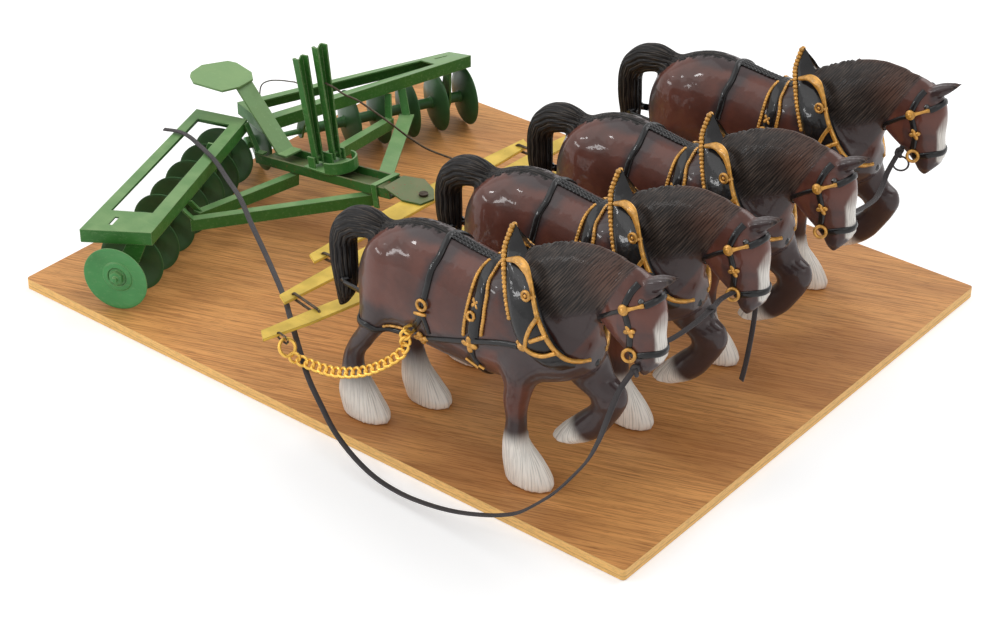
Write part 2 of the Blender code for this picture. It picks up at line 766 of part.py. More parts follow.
def make_gang(name):
    """The discs with their spacer spools and the axle, all turning together."""
    gang = GANGS[name]
    spin = pivot_empty(f"{name}_gang_axis", along_axle(name))
    numbers, spacing = DISCS_LEFT[name], gang["spacing"]
    half = DISC_THICK / 2
    for number in numbers:
        spool_end = spacing - half - GAP
        if number == numbers[-1]:
            spool_end = LAST_SPOOL
        frame = along_axle(name, (number - 1) * spacing)
        place(f"disc_{name}_{number}", turned(disc_profile(spool_end), 16), "dark_green", frame, spin)
    last = (numbers[-1] - 1) * spacing + LAST_SPOOL + GAP
    axle, nut, first = AXLE / 2, NUT / 2, -half - GAP
    profile = (
        (0, last + NUT_LONG), (nut, last + NUT_LONG), (nut, last), (axle, last), (axle, first),
        (nut, first), (nut, first - NUT_LONG), (axle, first - NUT_LONG),
        (axle, first - NUT_LONG - BOLT_TIP), (0, first - NUT_LONG - BOLT_TIP),
    )
    place(f"axle_{name}", turned(profile, 12), "dark_green", along_axle(name), spin)


def frame_point(name, share_along, share_forward):
    """A point of the frame's top face in the gang's own frame, between its four corners."""
    front_out, rear_out, rear_in, front_in = FRAME_CORNERS[name]
    outer = Vector(rear_out).lerp(Vector(front_out), share_forward)
    inner = Vector(rear_in).lerp(Vector(front_in), share_forward)
    along, forward, height = outer.lerp(inner, share_along)
    return Vector((forward, GANGS[name]["inward"] * along, height - GAP - DISC_RADIUS))


def frame_shares(name):
    """Where the frame's plates and rails end, as shares of its length and width."""
    corners = [Vector(corner) for corner in FRAME_CORNERS[name]]
    long = (corners[0] - corners[3]).length
    wide = (corners[0] - corners[1]).length
    along = (0, FRAME_OUTER_PLATE / long, 1 - FRAME_INNER_PLATE / long, 1)
    forward = (0, FRAME_REAR_RAIL / wide, 1 - FRAME_FRONT_RAIL / wide, 1)
    return along, forward


def make_frame(name):
    """A sheet with a long window and its edge folded down all round."""
    along, forward = frame_shares(name)
    solid = bmesh.new()
    bmesh.ops.create_grid(solid, x_segments=3, y_segments=3, size=1.5)
    window = []
    for face in solid.faces:
        middle = face.calc_center_median()
        if abs(middle.x) < 0.5 and abs(middle.y) < 0.5:
            window.append(face)
    bmesh.ops.delete(solid, geom=window, context="FACES_ONLY")
    outside = [edge for edge in solid.edges if all(max(abs(v.co.x), abs(v.co.y)) > 1 for v in edge.verts)]
    outside = [edge for edge in outside if edge.is_boundary]
    for vertex in solid.verts:
        share = (along[round(vertex.co.x + 1.5)], forward[round(vertex.co.y + 1.5)])
        vertex.co = frame_point(name, *share)
    grown = bmesh.ops.extrude_edge_only(solid, edges=outside)["geom"]
    skirt = [item for item in grown if isinstance(item, bmesh.types.BMVert)]
    bmesh.ops.translate(solid, vec=(0, 0, -FRAME_SKIRT), verts=skirt)
    bmesh.ops.recalc_face_normals(solid, faces=solid.faces)
    if sum(face.normal.z for face in solid.faces) < 0:
        bmesh.ops.reverse_faces(solid, faces=solid.faces)
    frame = gang_frame(name)
    spot = frame_point(name, along[1] / 2, 0.35)
    folded_sheet(f"gang_frame_{name}", solid, frame)
    obj = TOY.objects[f"gang_frame_{name}"]
    boolean(obj, block((FRAME_SLOT[1], FRAME_SLOT[0], 12), spot), "green", frame, "DIFFERENCE")


def folded_sheet(name, sheet, frame):
    """An open sheet facing out, given its thickness inwards by a Solidify modifier."""
    mesh = bpy.data.meshes.new(name)
    bmesh.ops.scale(sheet, vec=(MM, MM, MM), verts=sheet.verts)
    sheet.to_mesh(mesh)
    sheet.free()
    obj = place_data(name, mesh, "green", frame)
    thicken = obj.modifiers.new("Sheet", "SOLIDIFY")
    thicken.thickness = SHEET * MM
    thicken.offset = -1.0
    thicken.use_even_offset = True
    return obj


def make_hanger(name, word, place_on_axle, spool):
    """A plate from the front rail's underside down to the axle, bored for it."""
    gang = GANGS[name]
    distance = place_on_axle * gang["spacing"]
    corners = FRAME_CORNERS[name]
    share = (distance - corners[0][0]) / (corners[3][0] - corners[0][0])
    forward = frame_shares(name)[1]
    rear, front = frame_point(name, share, forward[2]), frame_point(name, share, 1)
    rim = spool / 2 + GAP + HANGER_RIM
    left = front.x - SHEET - GAP - 1.5 - HANGER_WIDTH
    slope = (front.z - rear.z) / (front.x - rear.x)
    tops = [(v, front.z + slope * (v - front.x) - SHEET * 1.2 - GAP) for v in (left, left + HANGER_WIDTH)]
    arc = [(rim * math.cos(a), rim * math.sin(a)) for a in (math.radians(d) for d in range(0, -181, -45))]
    outline = [*tops, (max(left + HANGER_WIDTH - 1.5, rim), tops[1][1] - 7), *arc]
    upright = Matrix.Rotation(math.radians(90), 4, "X")
    frame = gang_frame(name) @ Matrix.Translation((0, gang["inward"] * distance, 0))
    solid = slab(outline, -HANGER_THICK / 2, HANGER_THICK / 2, upright)
    bore = cylinder((0, -5, 0), (0, 5, 0), spool + 2 * GAP, sides=16)
    fuse(f"hanger_{name}_{word}", "green", frame, [solid], [bore])


def make_gangs():
    for name in GANGS:
        make_gang(name)
        make_frame(name)
        outer, inner = HANGER_PLACES[name]
        make_hanger(name, "outer", outer, SPOOL)
        make_hanger(name, "inner", inner, SPOOL if name == "near" else AXLE)


# Tongue, hook and braces


def raised(point):
    """A point given above the board's top."""
    return Vector((point[0], point[1], point[2] + BOARD_THICK))


def tongue_point(x, above=0.0):
    """The middle of the channel's floor at this X, or a point straight above it."""
    rear, front = raised(TONGUE_REAR), raised(TONGUE_FRONT)
    point = rear.lerp(front, (x - rear.x) / (front.x - rear.x))
    point.z += above
    return point


TONGUE_ALONG = (Vector(TONGUE_FRONT) - Vector(TONGUE_REAR)).normalized()


def make_tongue():
    half, wall = TONGUE_WIDTH / 2, TONGUE_WALL
    section = (
        (-half, 0), (half, 0), (half, wall), (half - SHEET, wall), (half - SHEET, SHEET),
        (SHEET - half, SHEET), (SHEET - half, wall), (-half, wall),
    )
    channel = extruded(section, raised(TONGUE_REAR), raised(TONGUE_FRONT))
    low = BOARD_THICK + BAR_TOP + GAP
    plate = slab(HITCH_OUTLINE, low, low + SHEET)
    hole = cylinder((*PIVOT, low - 5), (*PIVOT, low + 5), PIN + 2 * GAP, sides=12)
    fuse("tongue", "green", Matrix(), [channel, plate], [hole])


def channel_frame(x):
    """On the channel's wall tops at this X: X along the channel, Z square to it."""
    across = Vector((0, 0, 1)).cross(TONGUE_ALONG).normalized()
    up = TONGUE_ALONG.cross(across)
    turn = Matrix((TONGUE_ALONG, across, up)).transposed().to_4x4()
    return Matrix.Translation(tongue_point(x) + up * TONGUE_WALL) @ turn


def make_hook():
    """A strap over the channel with one leg down its near side."""
    frame = channel_frame(HOOK_X)
    half = TONGUE_WIDTH / 2 + GAP
    over = block((HOOK_WIDTH, 2 * half + SHEET, SHEET), (0, -SHEET / 2, GAP + SHEET / 2))
    top, low = GAP + SHEET, -HOOK_LEG
    leg = block((HOOK_WIDTH, SHEET, top - low), (0, -half - SHEET / 2, (top + low) / 2))
    fuse("hitch_hook", "green", frame, [over, leg])


ANGLE = (
    (0, 0), (ANGLE_WIDTH, 0), (ANGLE_WIDTH, -SHEET), (SHEET, -SHEET), (SHEET, -ANGLE_DEPTH),
    (0, -ANGLE_DEPTH),
)


def skirt_bottom(name, along):
    """A point of the gang's own frame, just below the front skirt's lower edge."""
    corners = FRAME_CORNERS[name]
    share = (along - corners[0][0]) / (corners[3][0] - corners[0][0])
    point = frame_point(name, share, 1)
    return point + Vector((-SHEET / 2, 0, -FRAME_SKIRT - GAP))


def brace_end(gang, x, direction, width):
    """Under the channel's near edge, or beside its far wall with room for the strip's corner."""
    half = TONGUE_WIDTH / 2
    if gang == "near":
        return tongue_point(x, -5 * GAP) - Vector((0, half - BRACE_UNDER, 0))
    return tongue_point(x, 2.0) + Vector((0, half + width * abs(direction.x) + 2 * GAP, 0))


def make_brace(name, gang, foot, x, flat=False):
    """A strip from in front of the gang's front rail to the tongue, and a tab up to the rail."""
    along, forward = foot
    edge = skirt_bottom(gang, along)
    low = (NEAR_FOOT if gang == "near" else FAR_FOOT) - GAP - DISC_RADIUS
    start = gang_frame(gang) @ Vector((forward, edge.y, low))
    half = FLAT_BRACE / 2
    section, width = ((-half, 0), (half, 0), (half, -SHEET), (-half, -SHEET)), half
    if not flat:
        side = -1 if gang == "near" else 1
        section, width = tuple((a * side, b) for a, b in ANGLE), ANGLE_WIDTH
    end = brace_end(gang, x, (tongue_point(x) - start).normalized(), width)
    direction = (end - start).normalized()
    wide, thin = BRACE_TAB / 2, SHEET / 2
    tab = ((-wide, -thin), (wide, -thin), (wide, thin), (-wide, thin))
    middle = direction.cross(Vector((0, 0, 1))) * section[1][0] / 2 if not flat else Vector()
    foot_point = start + middle + direction * 2.0 - Vector((0, 0, SHEET * 0.7))
    top = gang_frame(gang) @ edge
    strips = [extruded(section, start, end), extruded(tab, foot_point, top, up=direction)]
    fuse(name, "green", Matrix(), strips)


# Seat


def make_seat():
    top = BOARD_THICK + SEAT_TOP
    pan = slab(SEAT_OUTLINE, top - SEAT_SHEET, top)
    half = SEAT_STRAP / 2
    section = ((-half, 0), (half, 0), (half, SEAT_SHEET), (-half, SEAT_SHEET))
    foot_x, foot_y = SEAT_STRAP_FOOT
    rest = channel_frame(foot_x)
    foot_back = rest @ Vector((0, foot_y - tongue_point(foot_x).y, GAP))
    foot_front = rest @ Vector((SEAT_FOOT_LONG, foot_y - tongue_point(foot_x).y, GAP))
    upper = raised(SEAT_STRAP_TOP)
    strap = extruded(section, upper, foot_back + Vector((1.0, 0, 0.2)))
    foot = extruded(section, foot_back - (foot_front - foot_back) * 0.1, foot_front)
    fuse("seat", "green", Matrix(), [pan, strap, foot])


def make_frame_tie():
    """A slanted strap that holds the near frame's inner end to the tongue's rear end."""
    corner = frame_point("near", TIE_SHARE, 1)
    upper = gang_frame("near") @ (corner + Vector((GAP, 0, -1.0)))
    rest = channel_frame(TIE_FOOT)
    wide = TIE_WIDTH / 2
    side = wide - TONGUE_WIDTH / 2
    section = ((-wide, 0), (wide, 0), (wide, SHEET), (-wide, SHEET))
    strap = extruded(section, upper, rest @ Vector((-3.0, side, GAP)))
    foot = block((7.0, TIE_WIDTH, SHEET), (0, side, GAP + SHEET / 2))
    bmesh.ops.transform(foot, matrix=rest, verts=foot.verts)
    fuse("frame_tie", "green", Matrix(), [strap, foot])


# Levers


def lever_frame(name):
    lever = LEVERS[name]
    forward, side = lever["place"]
    pivot = channel_frame(BRACKET_X) @ Vector((forward, side, LEVER_PIVOT_HEIGHT))
    yaw = math.degrees(math.atan2(TONGUE_ALONG.y, TONGUE_ALONG.x))
    lean = Matrix.Rotation(math.radians(lever["lean"]), 4, "Y")
    return standing(*pivot, yaw) @ lean


def u_section(width, depth, wall):
    half, deep = width / 2, depth / 2
    return (
        (-half, -deep), (half, -deep), (half, deep), (half - wall, deep), (half - wall, wall - deep),
        (wall - half, wall - deep), (wall - half, deep), (-half, deep),
    )


def make_lever(name):
    """A folded strip that widens upwards, notched at its top and bored for its pin."""
    long = LEVERS[name]["long"]
    base = u_section(*LEVER_BASE, LEVER_WALL)
    top = u_section(*LEVER_TOP, LEVER_WALL)
    strip = extruded(base, (0, 0, -LEVER_BELOW), (0, 0, long), up=(1, 0, 0), end_section=top)
    bore = cylinder((0, -8, 0), (0, 8, 0), LEVER_PIN + 2 * GAP, sides=12)
    diamond = Matrix.Rotation(math.radians(45), 4, "X")
    notch = block((12, 3.2, 3.2), (0, 0, long), diamond)
    fuse(name, "green", lever_frame(name), [strip], [bore, notch])


def make_bracket():
    """Floor on the channel, three ears with the lever pins, and the curved quadrant in front."""
    frame = channel_frame(BRACKET_X)
    half, low = BRACKET_HALF, GAP
    arc = [math.radians(d) for d in range(-90, 91, 20)]
    bow = [(QUADRANT_RADIUS * math.cos(a) + BRACKET_FRONT, QUADRANT_RADIUS * math.sin(a)) for a in arc]
    floor = slab([(-BRACKET_BACK, -half), *bow, (-BRACKET_BACK, half)], low, low + SHEET)
    inner = QUADRANT_RADIUS - SHEET
    inside = [(inner * math.cos(a) + BRACKET_FRONT, inner * math.sin(a)) for a in reversed(arc)]
    wall = slab(bow + inside, low + SHEET / 2, low + QUADRANT_HEIGHT)
    solids = [floor, wall]
    places = [lever["place"][0] for lever in LEVERS.values()]
    middle, apart = sum(places) / 2, places[1] - places[0]
    sides = (-half + SHEET / 2, 0.0, half - SHEET / 2)
    ears = zip(sides, (places[0], middle, places[1]), (0, apart, 0))
    for y, x, extra in ears:
        size = (EAR_LONG + extra, SHEET, EAR_HEIGHT - low)
        solids.append(block(size, (x, y, low + size[2] / 2 + 0.2)))
    for lever in LEVERS.values():
        forward, side = lever["place"]
        reach = half / 2
        ends = [(forward, side + way * (reach - 0.3), LEVER_PIVOT_HEIGHT) for way in (-1, 1)]
        solids.append(cylinder(*ends, LEVER_PIN, sides=10))
    fuse("lever_bracket", "green", frame, solids)


# Laces and wires


def lace(name, spots, steps, flat=(LACE_WIDTH, LACE_THICK), diameter=None):
    points = smooth_path([Vector(spot) for spot in spots], steps)
    data = curve_data(name, points, diameter=diameter, flat=None if diameter else flat)
    place_data(name, data, "black_lace", Matrix())


LEVER_WIRE_ROUTE = (
    (-185.9, 3.0, 57.9), (-190.0, 7.0, 62.5), (-187.3, 6.5, 69), (-177.1, 3.0, 76.1),
    (-162.3, -2.5, 83), (-150.4, -6.5, 87.5), (-144.5, -9.5, 90.2), (-139.8, -11, 91.2),
)
FAR_REIN_ROUTE = (
    (-126.0, -3.5, 93.2), (-119.5, -2.5, 91.6), (-114, 0.0, 88), (-106.2, 4, 84.5), (-90.7, 12, 72.8),
    (-81, 20, 62), (-68, 28, 54), (-25, 36, 52), (12, 45, 60), (45, 44.5, 78), (75.8, 39.7, 92),
)
NEAR_REIN_ROUTE = (
    (-214, -50, 53.0), (-205, -46.5, 53.0), (-195, -47.5, 53.2), (-183.6, -51.2, 53.2), (-175, -54, 53.0),
    (-163, -58, 51.8), (-143.6, -68, 51), (-122.3, -80, 52), (-98.5, -95.2, 50), (-69.4, -112.6, 46),
    (-38.5, -133, 44.4), (-25, -143.5, 44.5), (-4, -159, 40.6), (9.8, -167, 31.2), (24.2, -173, 22.8),
    (36.8, -177.5, 15.5), (54.1, -182.5, 10.5), (70.9, -185, 6.7), (88.8, -186, 5.8), (106.9, -186, 7.6),
    (123.7, -185.5, 11.1), (139.7, -184.5, 16.3), (150.6, -183.5, 20.9), (159.7, -182, 26.1),
    (169.9, -180, 35.7), (177.3, -177.5, 43.8), (184.9, -174, 54.8), (190.2, -171, 64), (192.9, -167, 73.2),
    (193.5, -162.5, 81.1), (192.7, -156, 87.8), (192.2, -149, 94.0), (193.5, -139.0, 101.1),
)
COUPLING_ROUTE = (
    (192, -125.9, 107.3), (195, -117, 104.5), (200, -104, 109), (202.5, -92, 113.5), (199, -80, 111),
    (198.1, -65.7, 108.6),
)
HANGING_ROUTE = (
    (198, -50.6, 109.4), (198.5, -47.5, 98), (198, -47, 84), (197, -47.5, 70), (195.5, -48, 56),
    (193.5, -47.5, 46),
)
HORSE_4_ROUTE = (
    (185.4, 111.1, 110.2), (184, 105, 103), (184, 99, 98), (188, 88, 96.5), (194, 70, 98.5),
    (197, 50, 102.5), (199.4, 27.0, 108.9),
)


def make_laces():
    lace("lever_wire", LEVER_WIRE_ROUTE, 20, diameter=WIRE_THIN)
    lace("rein_far", FAR_REIN_ROUTE, 20, diameter=1.2)
    lace("rein_near", NEAR_REIN_ROUTE, 34)
    lace("coupling_strap", COUPLING_ROUTE, 14)
    lace("hanging_strap", HANGING_ROUTE, 10)
    lace("horse_4_strap", HORSE_4_ROUTE, 16)


make_board()
make_horses()
make_chains(make_eveners())
make_hitch_pin()
make_gangs()
make_tongue()
make_hook()
for brace_name, brace in BRACES.items():
    make_brace(brace_name, **brace)
make_seat()
make_frame_tie()
make_bracket()
for lever_name in LEVERS:
    make_lever(lever_name)
make_laces()
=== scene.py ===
"""Dresses the horse-drawn disc harrow toy: its team, harness, eveners, chains, harrow and display board."""

import json
import math

import bmesh
import bpy
import numpy as np
from bpy.props import FloatProperty, FloatVectorProperty, PointerProperty
from bpy.types import Operator, Panel, PropertyGroup
from mathutils import Matrix, Vector
from mathutils.bvhtree import BVHTree


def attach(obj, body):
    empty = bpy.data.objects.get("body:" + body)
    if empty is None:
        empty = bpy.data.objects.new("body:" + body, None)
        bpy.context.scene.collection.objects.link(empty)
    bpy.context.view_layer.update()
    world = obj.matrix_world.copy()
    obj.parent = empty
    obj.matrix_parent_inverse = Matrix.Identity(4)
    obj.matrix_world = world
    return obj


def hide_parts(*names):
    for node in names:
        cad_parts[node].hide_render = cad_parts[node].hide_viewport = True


bl_info = {
    "name": "Horse-drawn Disc Harrow Toy",
    "version": (1, 0, 0),
    "blender": (4, 5, 0),
    "location": "View3D > Sidebar > Disc Harrow Toy",
    "description": "Models and paints a toy disc harrow with its team of draught horses",
    "category": "Object",
}

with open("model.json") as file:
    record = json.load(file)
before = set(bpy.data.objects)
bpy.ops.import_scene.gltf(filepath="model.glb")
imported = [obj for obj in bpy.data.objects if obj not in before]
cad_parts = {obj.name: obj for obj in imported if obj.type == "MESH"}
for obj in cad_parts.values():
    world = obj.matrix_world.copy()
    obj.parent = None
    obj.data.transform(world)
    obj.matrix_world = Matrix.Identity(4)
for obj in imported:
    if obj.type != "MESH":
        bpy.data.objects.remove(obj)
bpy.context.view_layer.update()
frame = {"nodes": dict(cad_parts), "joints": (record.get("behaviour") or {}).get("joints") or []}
NODES = frame["nodes"]
MM = 0.001

# Places that the model's source also uses, in millimetres and degrees
BOARD_THICK = 6.35
GAP = 0.3
HORSE_SPOTS = ((0.0, -133.0, 0.0), (6.8, -58.3, 0.0), (7.0, 19.4, 0.0), (1.5, 110.3, 2.5))
FLANK_HOLE = (66.4, 18.2, 69.3)
FLANK = Vector(FLANK_HOLE)
CHAIN_PATH = (
    (6.0, 31.3, 31.0), (25.0, 30.5, 33.0), (44.0, 28.5, 40.5), (59.5, 25.0, 52.0), (65.5, 21.8, 60.0),
)
RING_HANG = Vector((0.55, 0, -0.84)).normalized()
JUMP_RING = 4.6
SINGLE_LINK = 23.5
DOUBLE_LINK = 17.0
SINGLE_HALF = 28.5
BAR_WIDTH = 10.0
BAR_THICK = 1.6
LINK_WIRE = 1.4
STAPLE_WIRE = 1.0
STAPLE_REACH = 6.4
BAR_YAWS = {
    "main_evener": -1.2, "doubletree_1": -1.0, "doubletree_2": -2.0,
    "singletree_1": -11.0, "singletree_2": -3.0, "singletree_3": -1.0, "singletree_4": -5.0,
}
GANGS = {
    # place, yaw, way in along the axle, spacing of the discs and their numbers
    "near": ((-146.8, -152.5), 21.4, 1, 21.4, (1, 2, 3, 4, 5, 6, 7, 8)),
    "far": ((-141.9, 136.1), -24.5, -1, 19.8, (1, 2, 3, 4, 5, 8)),
}
DISC_RADIUS = 19.0
DISC_DISH = 3.4

UP = Vector((0, 0, 1))
FINE_STEPS = 12  # points between two given ones of a curve, before they are set at even distances
BEAD_STEPS = 6  # points along one bead of a roped edge
STRAND_PITCH = 2.9  # width of a carved strand of hair
STRAP_STEP = 1.5  # distance of the sections of a strap
STRAP_SINK = 0.5  # how far a strap's edges reach into the coat
WIRE_SWELL = 0.08  # a bent wire's radius over its round solid's
STAPLE_SEAT = 2.5  # how far a staple reaches over its bar
STAPLE_LIFT = 0.6  # room between a bar and the staple round it
DISC_FLAT = 5.0  # radius of the flat middle of a disc
DISC_HALF = 0.5  # half the thickness of a disc's blade
NUT_RADIUS = 4.2
NUT_HIGH = 3.0
PLY_THICK = 2.15  # one ply of the board

CAMERA_PLACE = (0.70398, -0.87574, 0.68807)
CAMERA_TURN = (58.0312, -0.2563, 38.9252)
CAMERA_LENS = 83.655
SENSOR_WIDTH = 36.0
CLIP_START, CLIP_END = 0.01, 50.0
EYE = Vector((703.98, -742.74, 681.42))  # the camera, measured from the first horse
SIGHT_PLANE = -17.0  # the side place of the plane in which spots on a horse are read through the camera

FLOOR_SIZE = 6.0
FLOOR_DROP = 0.0002
FLOOR_GLOW = 0.3
SOFT_ROOM, BRIGHT_ROOM = 0.54, 1.0  # strength of the white room for shading, and as it is seen
LIGHTS = (
    # name, place in metres, watts, length and width
    ("overhead_light", (0.3, 1.2, 1.5), 15.0, 1.3, 1.3),
    ("window_light", (-0.9, -0.6, 1.3), 7.0, 1.6, 1.3),
    ("tube_light", (-1.0, -1.2, 0.5), 2.8, 0.55, 0.12),
    ("lamp_light", (-0.8, -1.0, 1.0), 1.0, 0.12, 0.08),
    ("fill_light", (1.2, -0.6, 0.9), 2.0, 0.8, 0.8),
)

# Colours of details, as the renderer takes them
COAT_DUST = (0.2, 0.15, 0.12)
# the tip colours are painted highlights on the ridges of the engraved hair, the groove colours painted shade
# in its grooves
HAIR_TIP_HIGHLIGHT = (0.13, 0.1, 0.075)
MANE = (0.034, 0.026, 0.023)
MANE_GROOVE_SHADE = (0.01, 0.008, 0.007)
MANE_TIP_HIGHLIGHT = (0.15, 0.11, 0.085)
RED_HAIR = (0.125, 0.062, 0.044)
RED_GROOVE_SHADE = (0.045, 0.022, 0.016)
FEATHER_GROOVE_SHADE = (0.2, 0.18, 0.165)
FEATHER_STAIN = (0.5, 0.45, 0.4)
HARNESS_WEAR = (0.16, 0.1, 0.06)
GILT_WEAR = (0.08, 0.05, 0.03)
BOARD_NICK = (0.12, 0.06, 0.025)
WHITE = (1, 1, 1)


def linear(red, green, blue):
    """A screen colour from 0 to 255 as the renderer takes it."""
    parts = (c / 255 for c in (red, green, blue))
    return tuple(((c + 0.055) / 1.055) ** 2.4 if c > 0.04 else c / 12.92 for c in parts)


def tint(name, description, *screen):
    """A colour of the panel."""
    return FloatVectorProperty(
        name=name, description=description, default=linear(*screen), size=3, min=0, max=1, subtype="COLOR"
    )


def length(name, description, millimetres):
    """A size of the panel."""
    return FloatProperty(
        name=name, description=description, default=millimetres * MM, min=0.0001, unit="LENGTH", precision=4
    )


class ToyColours(PropertyGroup):
    coat: tint("Coat", "Red-brown of the horses' bodies", 93, 53, 43)
    coat_shade: tint("Shaded coat", "Grey-purple brown of the rump and legs", 60, 46, 46)
    hair: tint("Hair", "Mane and tail", 28, 25, 25)
    feather: tint("Feather", "Pale hair of the lower legs and face", 252, 247, 238)
    harness: tint("Harness", "Black gloss of the straps and collars", 14, 13, 14)
    gilt: tint("Gilt", "Gold paint of the harness fittings", 218, 158, 66)
    green: tint("Green", "Paint of the harrow's sheet metal", 55, 114, 46)
    green_worn: tint("Worn green", "Thin paint on edges and rubbed places", 146, 176, 122)
    # painted shade: the inner discs' darker green stands for the shade between the close-set discs
    shaded_disc_green: tint("Dark green", "Paint of the inner discs and the axles", 60, 98, 60)
    primer: tint("Primer", "Red under-paint where the green is gone", 150, 62, 46)
    yellow: tint("Yellow", "Paint of the evener bars", 255, 216, 94)
    chain: tint("Chain", "Bright metal of the trace chains", 252, 200, 92)
    steel: tint("Steel", "Darkened wire and the hitch pin", 84, 74, 62)
    lace: tint("Lace", "Flat laces of the reins", 48, 42, 43)
    board: tint("Board", "Stained face of the plywood", 200, 143, 84)
    board_streak: tint("Board streaks", "Darker grain of the plywood", 146, 88, 44)
    board_edge: tint("Board edge", "Paler plies at the board's edge", 250, 198, 120)


class ToySizes(PropertyGroup):
    voxel: length("Voxel", "Grain of the horses' meshes", 0.85)
    hip_strap: length("Hip strap", "Width of the strap over the croup", 3.5)
    back_strap: length("Backband", "Width of the black band behind the collar", 7.2)
    trace: length("Trace", "Width of the strap along the flank", 3.9)
    bridle: length("Bridle", "Width of the bridle's straps", 3.4)
    beads: length("Beads", "Radius of the backband's beaded edges", 0.95)
    collar_rope: length("Collar rope", "Radius of the roped edge of the collar", 1.45)
    link_wire: length("Chain wire", "Diameter of the chain's wire", 1.75)
    link_half: length("Chain half width", "Half the width of a chain link", 3.2)
    lace_width: length("Lace width", "Width of the flat laces", 3.0)
    lace_thick: length("Lace thickness", "Thickness of the flat laces", 0.8)


def colours():
    """The panel's colours."""
    return bpy.context.scene.toy_colours


def size(name):
    """A size of the panel, in millimetres."""
    return getattr(bpy.context.scene.toy_sizes, name) / MM


def shaded(colour, share):
    """A colour made darker, or lighter where the share is over 1."""
    return tuple(c * share for c in colour)


# Nodes


def put(tree, kind, sockets=(), **settings):
    """Adds a node with its settings, and sets or wires its sockets."""
    made = tree.nodes.new("ShaderNode" + kind)
    for name, value in settings.items():
        setattr(made, name, value)
    for key, value in dict(sockets).items():
        if isinstance(value, bpy.types.NodeSocket):
            tree.links.new(value, made.inputs[key])
        elif hasattr(value, "__len__") and len(value) == 3 and made.inputs[key].type == "RGBA":
            made.inputs[key].default_value = (*value, 1)
        else:
            made.inputs[key].default_value = value
    return made


def calc(tree, way, first, second=0.0):
    """The outcome of one Math node with two values."""
    return put(tree, "Math", {0: first, 1: second}, operation=way).outputs[0]


def scaled(tree, value, by, plus):
    """The value times by, with plus added."""
    return put(tree, "Math", {0: value, 1: by, 2: plus}, operation="MULTIPLY_ADD").outputs[0]


def mixed(tree, share, below, above, strength=1.0):
    """A colour laid over another as far as the share says, times the strength."""
    if strength != 1.0:
        share = calc(tree, "MULTIPLY", share, strength)
    return put(tree, "Mix", {0: share, 6: below, 7: above}, data_type="RGBA").outputs[2]


def between(tree, value, low, high):
    """0 below low and 1 above high, smooth between them."""
    sockets = {"Value": value, "From Min": low, "From Max": high}
    return put(tree, "MapRange", sockets, interpolation_type="SMOOTHSTEP").outputs["Result"]


def noise(tree, vector, pitch, detail=3.0, rough=0.5, twist=0.0):
    """Noise whose lumps are about a pitch apart, in the vector's unit."""
    sockets = {
        "Vector": vector, "Scale": 1 / pitch, "Detail": detail, "Roughness": rough, "Distortion": twist,
    }
    return put(tree, "TexNoise", sockets).outputs["Fac"]


def stretched(tree, vector, stretch, turn=(0, 0, 0)):
    """A vector turned by degrees and stretched."""
    turn = tuple(math.radians(a) for a in turn)
    return put(tree, "Mapping", {"Vector": vector, "Scale": stretch, "Rotation": turn}).outputs[0]


def upright(tree, vector):
    """The Z part of a vector."""
    return put(tree, "SeparateXYZ", {0: vector}).outputs[2]


def in_mm(tree):
    """Object coordinates in millimetres."""
    where = put(tree, "TexCoord").outputs["Object"]
    return stretched(tree, where, (1000, 1000, 1000))


def attribute(tree, name, output="Vector"):
    """What the mesh keeps under a name."""
    return put(tree, "Attribute", attribute_name=name).outputs[output]


def bump(tree, height, strength, distance, under=None):
    """A bump laid over the normal under it; its distance is in millimetres."""
    sockets = {"Height": height, "Strength": strength, "Distance": distance * MM}
    if under is not None:
        sockets["Normal"] = under
    return put(tree, "Bump", sockets).outputs[0]


def effect(name, takes, gives):
    """An empty node group with its named sockets."""
    tree = bpy.data.node_groups.new(name, "ShaderNodeTree")
    for label, kind, default in takes:
        socket = tree.interface.new_socket(name=label, in_out="INPUT", socket_type="NodeSocket" + kind)
        if default is not None:
            socket.default_value = default
    for label, kind in gives:
        tree.interface.new_socket(name=label, in_out="OUTPUT", socket_type="NodeSocket" + kind)
    return tree, tree.nodes.new("NodeGroupInput").outputs, tree.nodes.new("NodeGroupOutput").inputs


def edge_wear():
    """Rubbed edges: where a small rounding would turn the normal, broken up by noise."""
    if "Edge wear" in bpy.data.node_groups:
        return bpy.data.node_groups["Edge wear"]
    takes = (("Place", "Vector", None), ("Reach", "Float", 0.0006), ("Amount", "Float", 0.5))
    tree, given, result = effect("Edge wear", takes, (("Bare", "Float"), ("Rounded", "Vector")))
    rounded = put(tree, "Bevel", {"Radius": given["Reach"]}, samples=6).outputs[0]
    plain = put(tree, "NewGeometry").outputs["Normal"]
    facing = put(tree, "VectorMath", {0: rounded, 1: plain}, operation="DOT_PRODUCT").outputs["Value"]
    turned = calc(tree, "SUBTRACT", 1.0, facing)
    patches = noise(tree, given["Place"], 3.2, 5.0, 0.65)
    limit = scaled(tree, patches, -0.34, 0.30)
    limit = calc(tree, "SUBTRACT", limit, calc(tree, "MULTIPLY", given["Amount"], 0.16))
    bare = between(tree, calc(tree, "SUBTRACT", turned, limit), 0.0, 0.06)
    tree.links.new(bare, result["Bare"])
    tree.links.new(rounded, result["Rounded"])
    return tree


def blotches():
    """Uneven colour: soft patches with smaller ones inside."""
    if "Blotches" in bpy.data.node_groups:
        return bpy.data.node_groups["Blotches"]
    takes = (("Place", "Vector", None), ("Patch", "Float", 14.0))
    tree, given, result = effect("Blotches", takes, (("Soft", "Float"), ("Specks", "Float")))
    scale = calc(tree, "DIVIDE", 1.0, given["Patch"])
    soft = put(tree, "TexNoise", {"Vector": given["Place"], "Scale": scale, "Detail": 4.0}).outputs["Fac"]
    tree.links.new(between(tree, soft, 0.35, 0.68), result["Soft"])
    fine = noise(tree, given["Place"], 1.1, 4.0, 0.7)
    tree.links.new(between(tree, fine, 0.66, 0.74), result["Specks"])
    return tree


